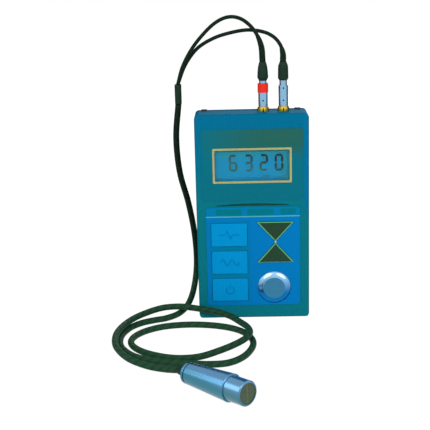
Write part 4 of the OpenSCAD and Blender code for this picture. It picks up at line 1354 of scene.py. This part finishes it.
    def _tip_bridge(self) -> None:
        """Prints the pale spot on the panel between the triangles' tips."""
        x = centre_of("key_up").x
        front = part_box("keypad_panel")[0].y
        left, right = x - self.edge_w, x + self.edge_w
        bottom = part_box("key_up")[1].z + self.edge_t
        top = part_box("key_down")[0].z - self.edge_t
        mesh = bmesh.new()
        outline = [(left, bottom), (right, bottom), (right, top), (left, top)]
        MeshKit.prism(mesh, outline, front - self.edge_t, front + self.edge_t)
        seat(MeshKit.piece("arrow_tip_print", mesh, self.tip.build()), ROOT)

    def _notch_shade_sheet(self) -> None:
        """Lays a dark crescent of painted shade on the floor of the notch under the label."""
        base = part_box("keypad_panel")[1].z + self.notch_rise
        outline = [(-self.notch_half, base), (self.notch_half, base)]
        for i in range(self.notch_steps + 1):
            across = 1 - 2 * i / self.notch_steps
            height = self.notch_end_h + (self.notch_h - self.notch_end_h) * (1 - across**2)
            outline.append((self.notch_half * across, base + height))
        mesh = bmesh.new()
        MeshKit.prism(mesh, outline, self.notch_floor - self.notch_t, self.notch_floor + self.notch_t)
        seat(MeshKit.piece("notch_inlay", mesh, self.shade.build()), ROOT)


@dataclass
class Display:
    """Liquid crystal reading behind the window, and the frame round it."""

    # The reading and its unit
    reading: str = "6320"
    unit: str = "m/s"
    centres: tuple[float, ...] = (-0.0113, -0.0021, 0.0070, 0.01605)
    low: float = 0.0924
    high: float = 0.1028
    digit_w: float = 0.0052
    stroke: float = 0.0014
    ink_t: float = 0.00006
    unit_left: float = 0.0062
    unit_low: float = 0.0887
    unit_h: float = 0.0028
    # Lit segments of each figure: a to f run clockwise from the top, and g lies in the middle
    lit: dict[str, str] = field(
        default_factory=lambda: {"6": "afgedc", "3": "abgcd", "2": "abged", "0": "abcdef"}
    )
    # Finishes of the window, the cell, the print and the frame
    window_roughness: float = 0.12
    window_alpha: float = 0.03
    deep_left: float = 0.004
    deep_below: float = 0.006
    deep_soft: float = 0.008
    ink_fade: Fade = Fade((0.35, 0.0, 1.0), 0.093, 0.104)
    rim: Finish = Finish("frame_print", Tint.FRAME, roughness=0.5, specular=0.1, contrast=0.10)
    crystal: Finish = Finish(
        "lcd_blue", Tint.LCD_DEEP, roughness=0.6, specular=0.03, scale=1500.0, contrast=0.08, bump=0.0
    )
    ink: Finish = Finish("lcd_ink", Tint.DIGIT_PALE, roughness=0.7, specular=0.05, contrast=0.2, bump=0.0)
    unit_ink: Finish = Finish("unit_ink", Tint.UNIT, roughness=0.7, specular=0.05)

    def build(self, nodes: Nodes) -> None:
        """Dresses the display and prints its reading.

        Args:
            nodes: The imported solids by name.
        """
        dress(nodes["display_frame"], self.rim.build())
        dress(nodes["display_window"], self._window())
        dress(nodes["lcd_cell"], self._crystal())
        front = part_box("lcd_cell")[0].y
        for piece in (self._digits(front, self._ink()), self._unit(front, self.unit_ink.build())):
            seat(piece, ROOT)

    def _window(self) -> bpy.types.Material:
        """Clear window, thin enough to read through.

        Returns:
            The window's material.
        """
        shader = Shader("window_clear")
        shader.fill(shader.bsdf, Base_Color=Tint.WINDOW.colour)
        shader.fill(shader.bsdf, Roughness=self.window_roughness, Alpha=self.window_alpha)
        return shader.material

    def _crystal(self) -> bpy.types.Material:
        """Blue liquid crystal cell, greener towards its top and its right edge.

        Returns:
            The cell's material.
        """
        shader = Shader(self.crystal.name)
        low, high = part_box("display_window")
        span, rise = (low.x - self.deep_left, high.x), (low.z - self.deep_below, high.z)
        middle = shader.printed(span, rise, self.deep_soft)
        return self.crystal.close(shader, shader.mix(self.crystal.tint.colour, Tint.LCD.colour, middle))

    def _ink(self) -> bpy.types.Material:
        """Dark segments, paler towards the lower left.

        Returns:
            The segments' material.
        """
        shader = Shader(self.ink.name)
        dark = self.ink_fade.mask(shader)
        return self.ink.close(shader, shader.mix(self.ink.tint.colour, Tint.DIGIT.colour, dark))

    def _digits(self, front: float, ink: bpy.types.Material) -> bpy.types.Object:
        """Sets a bar on each lit segment of the reading.

        Args:
            front: Depth of the crystal's front.
            ink: The bars' material.

        Returns:
            The digits as one plain mesh.
        """
        half_w = (self.digit_w - self.stroke) / 2
        top, bottom = self.high - self.stroke / 2, self.low + self.stroke / 2
        mid = (self.low + self.high) / 2
        quarter = (top - bottom) / 4
        lying = ((0.0, 0.0, 0.0), (1.0, 1.0, 1.0))
        upright = ((0.0, math.pi / 2, 0.0), (quarter / half_w, 1.0, 1.0))
        bars = {
            "a": (0.0, top, lying), "g": (0.0, mid, lying), "d": (0.0, bottom, lying),
            "b": (half_w, mid + quarter, upright), "c": (half_w, mid - quarter, upright),
            "f": (-half_w, mid + quarter, upright), "e": (-half_w, mid - quarter, upright),
        }
        spots = []
        for centre, figure in zip(self.centres, self.reading):
            for name in self.lit[figure]:
                x, z, stance = bars[name]
                spots.append(Spot((centre + x, front, z), *stance))
        return Repeater(self._bar(ink), ink).build("lcd_digits", spots)

    def _bar(self, ink: bpy.types.Material) -> bpy.types.Object:
        """Makes the pointed bar of one segment, lying along X.

        Args:
            ink: The bar's material.

        Returns:
            The bar.
        """
        half, point = (self.digit_w - self.stroke) / 2, self.stroke / 2
        outline = [
            (-half, 0.0), (-half + point, -point), (half - point, -point),
            (half, 0.0), (half - point, point), (-half + point, point),
        ]
        mesh = bmesh.new()
        MeshKit.prism(mesh, outline, -self.ink_t, 0.0)
        return MeshKit.piece("segment_bar", mesh, ink)

    def _unit(self, front: float, ink: bpy.types.Material) -> bpy.types.Object:
        """Prints the unit under the reading.

        Args:
            front: Depth of the crystal's front.
            ink: The print's material.

        Returns:
            The unit as a plain mesh.
        """
        curve = bpy.data.curves.new("unit_text", "FONT")
        curve.body = self.unit
        curve.size = self.unit_h
        curve.extrude = self.ink_t / 2
        holder = MeshKit.link("unit_text", curve)
        data = MeshKit.solid(holder)
        bpy.data.objects.remove(holder)
        place = Matrix.Translation((self.unit_left, front - self.ink_t, self.unit_low))
        data.transform(place @ Matrix.Rotation(math.pi / 2, 4, "X"))
        data.materials.clear()
        data.materials.append(ink)
        return MeshKit.link("lcd_unit", data)


@dataclass
class MetalWork:
    """Turned and plated pieces: reference disc, sockets, plugs and probe."""

    # Axes and tints of the turned pieces
    probe_turn: Point = (math.radians(87.14), 0.0, math.radians(44.5))
    probe_rear: Point = (-0.0375, -0.1064, 0.00569)
    # Painted reflection: the probe's plating turns darker below this band
    probe_reflection_fade: Fade = Fade(UP, 0.007, 0.0125)
    disc_turn: Point = (math.pi / 2, 0.0, 0.0)
    disc_flat_r: float = 0.0066
    # Painted reflection: the disc's steel turns from blue below to pale above between these heights
    disc_reflection_fade: Flat = (-0.004, 0.009)
    # Painted shade in the dimples of the release sleeves and in the keyways of the sockets
    dimple_r: float = 0.00046
    dimple_t: float = 0.00018
    dimple_rises: tuple[float, ...] = (0.0034, 0.0106)
    dimple_sides: int = 12
    dimples: int = 6
    slot_w: float = 0.0007
    slot_h: float = 0.0019
    slot_t: float = 0.0002
    slots: int = 4
    # Finishes
    gilt: Finish = Finish("gilt", Tint.GILT, roughness=0.24, metallic=1.0, contrast=0.05)
    resin: Finish = Finish("delay_resin", Tint.RESIN, contrast=0.2, scale=1600.0)
    cork: Finish = Finish("cork", Tint.CORK, roughness=0.8, contrast=0.3, scale=3000.0)
    dimple_shade: Finish = Finish("dimple_shade", Tint.RECESS_SHADE, roughness=0.6, specular=0.1)
    slot_shade: Finish = Finish("slot_shade", Tint.RECESS_SHADE, roughness=0.6, specular=0.1)

    def build(self, nodes: Nodes) -> None:
        """Dresses the metal pieces and what they hold.

        Args:
            nodes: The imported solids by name.
        """
        dress(nodes["reference_disc"], self._disc())
        lathe = (self.probe_rear, self.probe_turn)
        barrel = Turned(
            "probe_plate", Tint.PROBE, *lathe, roughness=0.28, pitch=0.0003,
            fade=self.probe_reflection_fade, low_reflection_tint=Tint.PROBE_LOW_REFLECTION,
        )
        nose = Turned(
            "nose_plate", Tint.NOSE, *lathe, roughness=0.24, fade=self.probe_reflection_fade, low_reflection_tint=Tint.NOSE_LOW_REFLECTION
        )
        dress(nodes["probe_barrel"], barrel.build())
        dress(nodes["probe_nose"], nose.build())
        gilt = self.gilt.build()
        for name in ("socket_left", "socket_right", "socket_nuts"):
            dress(nodes[name], gilt)
        upright = (0.0, 0.0, 0.0)
        for side in SIDES:
            axis = tuple(centre_of(f"plug_{side}"))
            steel = Turned(f"sleeve_{side}_steel", Tint.SLEEVE, axis, upright, roughness=0.26, pitch=0.0004)
            metal = steel.build()
            dress(nodes[f"sleeve_{side}"], metal)
            dress(nodes[f"plug_{side}"], metal)
            self._dimples(side)
        self._slots()
        resin = self.resin.build()
        for side in SIDES:
            dress(nodes[f"delay_{side}"], resin)
        dress(nodes["sound_barrier"], self.cork.build())

    def _disc(self) -> bpy.types.Material:
        """Turned disc with a painted reflection: its bevel pale at the top and blue below, round a plainer
        flat whose blue is partly painted reflection too.

        Returns:
            The disc's material.
        """
        middle = centre_of("reference_disc")
        low, high = self.disc_reflection_fade
        return Turned(
            "disc_steel", Tint.DISC_TOP_REFLECTION, tuple(middle), self.disc_turn, contrast=0.12,
            fade=Fade(UP, middle.z + low, middle.z + high), low_reflection_tint=Tint.DISC_LOW_REFLECTION,
            hub=self.disc_flat_r, hub_tint=Tint.DISC_FLAT_AND_REFLECTION,
        ).build()

    def _dimples(self, side: str) -> None:
        """Lays painted shade in the dimples of a release sleeve.

        Args:
            side: Left or right.
        """
        sleeve = f"sleeve_{side}"
        low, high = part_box(sleeve)
        middle = (low + high) / 2
        radius = (high.x - low.x) / 2 - self.dimple_t
        mesh = bmesh.new()
        bmesh.ops.create_cone(
            mesh, cap_ends=True, segments=self.dimple_sides,
            radius1=self.dimple_r, radius2=self.dimple_r, depth=self.dimple_t,
        )
        spots = []
        for rise in self.dimple_rises:
            for i in range(self.dimples):
                turn = 2 * math.pi * (i + 0.5) / self.dimples
                x, y = middle.x + radius * math.cos(turn), middle.y + radius * math.sin(turn)
                spots.append(Spot((x, y, low.z + rise), (0.0, math.pi / 2, turn)))
        shade = self.dimple_shade.build()
        piece = Repeater(MeshKit.piece("dimple", mesh, shade), shade).build(f"{sleeve}_dimples", spots)
        seat(piece, sleeve)

    def _slots(self) -> None:
        """Sets painted shade of keyways: dark marks round the two sockets' rings."""
        half_w, half_t, half_h = self.slot_w / 2, self.slot_t / 2, self.slot_h / 2
        mesh = bmesh.new()
        outline = [(-half_w, -half_h), (half_w, -half_h), (half_w, half_h), (-half_w, half_h)]
        MeshKit.prism(mesh, outline, -half_t, half_t)
        spots = []
        for side in SIDES:
            low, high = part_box(f"socket_{side}")
            middle = (low + high) / 2
            radius = (high.x - low.x) / 2
            for i in range(self.slots):
                turn = 2 * math.pi * i / self.slots
                x, y = middle.x + radius * math.sin(turn), middle.y - radius * math.cos(turn)
                spots.append(Spot((x, y, high.z - self.slot_h), (0.0, 0.0, turn)))
        # Painted shade: dark marks where the keyways are
        shade = self.slot_shade.build()
        piece = Repeater(MeshKit.piece("keyway", mesh, shade), shade).build("socket_keyways", spots)
        seat(piece, ROOT)


@dataclass
class PlainPieces:
    """Finish of every piece that has no drawing of its own."""

    finishes: tuple[tuple[Finish, tuple[str, ...]], ...] = (
        (Finish("marker_red", Tint.MARKER, specular=0.15), ("marker_ring",)),
        (
            Finish("boot_rubber", Tint.BOOT, roughness=0.45, specular=0.08, contrast=0.18, bump=0.00004),
            ("boot_left", "boot_right", "cable_yoke", "probe_gland"),
        ),
        (Finish("screw_steel", Tint.STEEL, roughness=0.3, metallic=1.0), ("case_screws", "board_screws")),
        (Finish("blackened_steel", Tint.BLACKENED, metallic=0.6), ("top_screws",)),
        (
            Finish("nickel", Tint.NICKEL, roughness=0.25, metallic=1.0),
            ("battery_springs", "battery_contacts", "key_domes"),
        ),
        (
            Finish("cell_jacket", Tint.NICKEL, roughness=0.35, metallic=0.8, contrast=0.1),
            ("cell_left", "cell_right"),
        ),
        (Finish("solder_mask", Tint.BOARD, contrast=0.2), ("main_board", "keypad_board")),
        (
            Finish("black_plastic", Tint.BLACK_PLASTIC, roughness=0.55),
            ("battery_tray", "lcd_holder", "board_link", "board_parts"),
        ),
        (Finish("silicone", Tint.SILICONE, roughness=0.6), ("contact_strips",)),
        (Finish("ceramic", Tint.CERAMIC, roughness=0.5), ("crystals",)),
        (Finish("loaded_resin", Tint.LOADED_RESIN, roughness=0.6), ("damping_block",)),
    )

    def build(self, nodes: Nodes) -> None:
        """Dresses the pieces.

        Args:
            nodes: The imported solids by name.
        """
        for finish, names in self.finishes:
            material = finish.build()
            for name in names:
                dress(nodes[name], material)


def main() -> None:
    """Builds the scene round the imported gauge."""
    logging.basicConfig(level=logging.INFO, format="%(name)s: %(message)s")
    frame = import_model()
    nodes = frame["nodes"]
    Shader.groups = NodeGroups()
    PhotoCamera().place()
    ProbeCords().build(nodes)
    Studio().build()
    FacePanel().build(nodes)
    Display().build(nodes)
    MetalWork().build(nodes)
    PlainPieces().build(nodes)


if __name__ == "__main__":
    main()
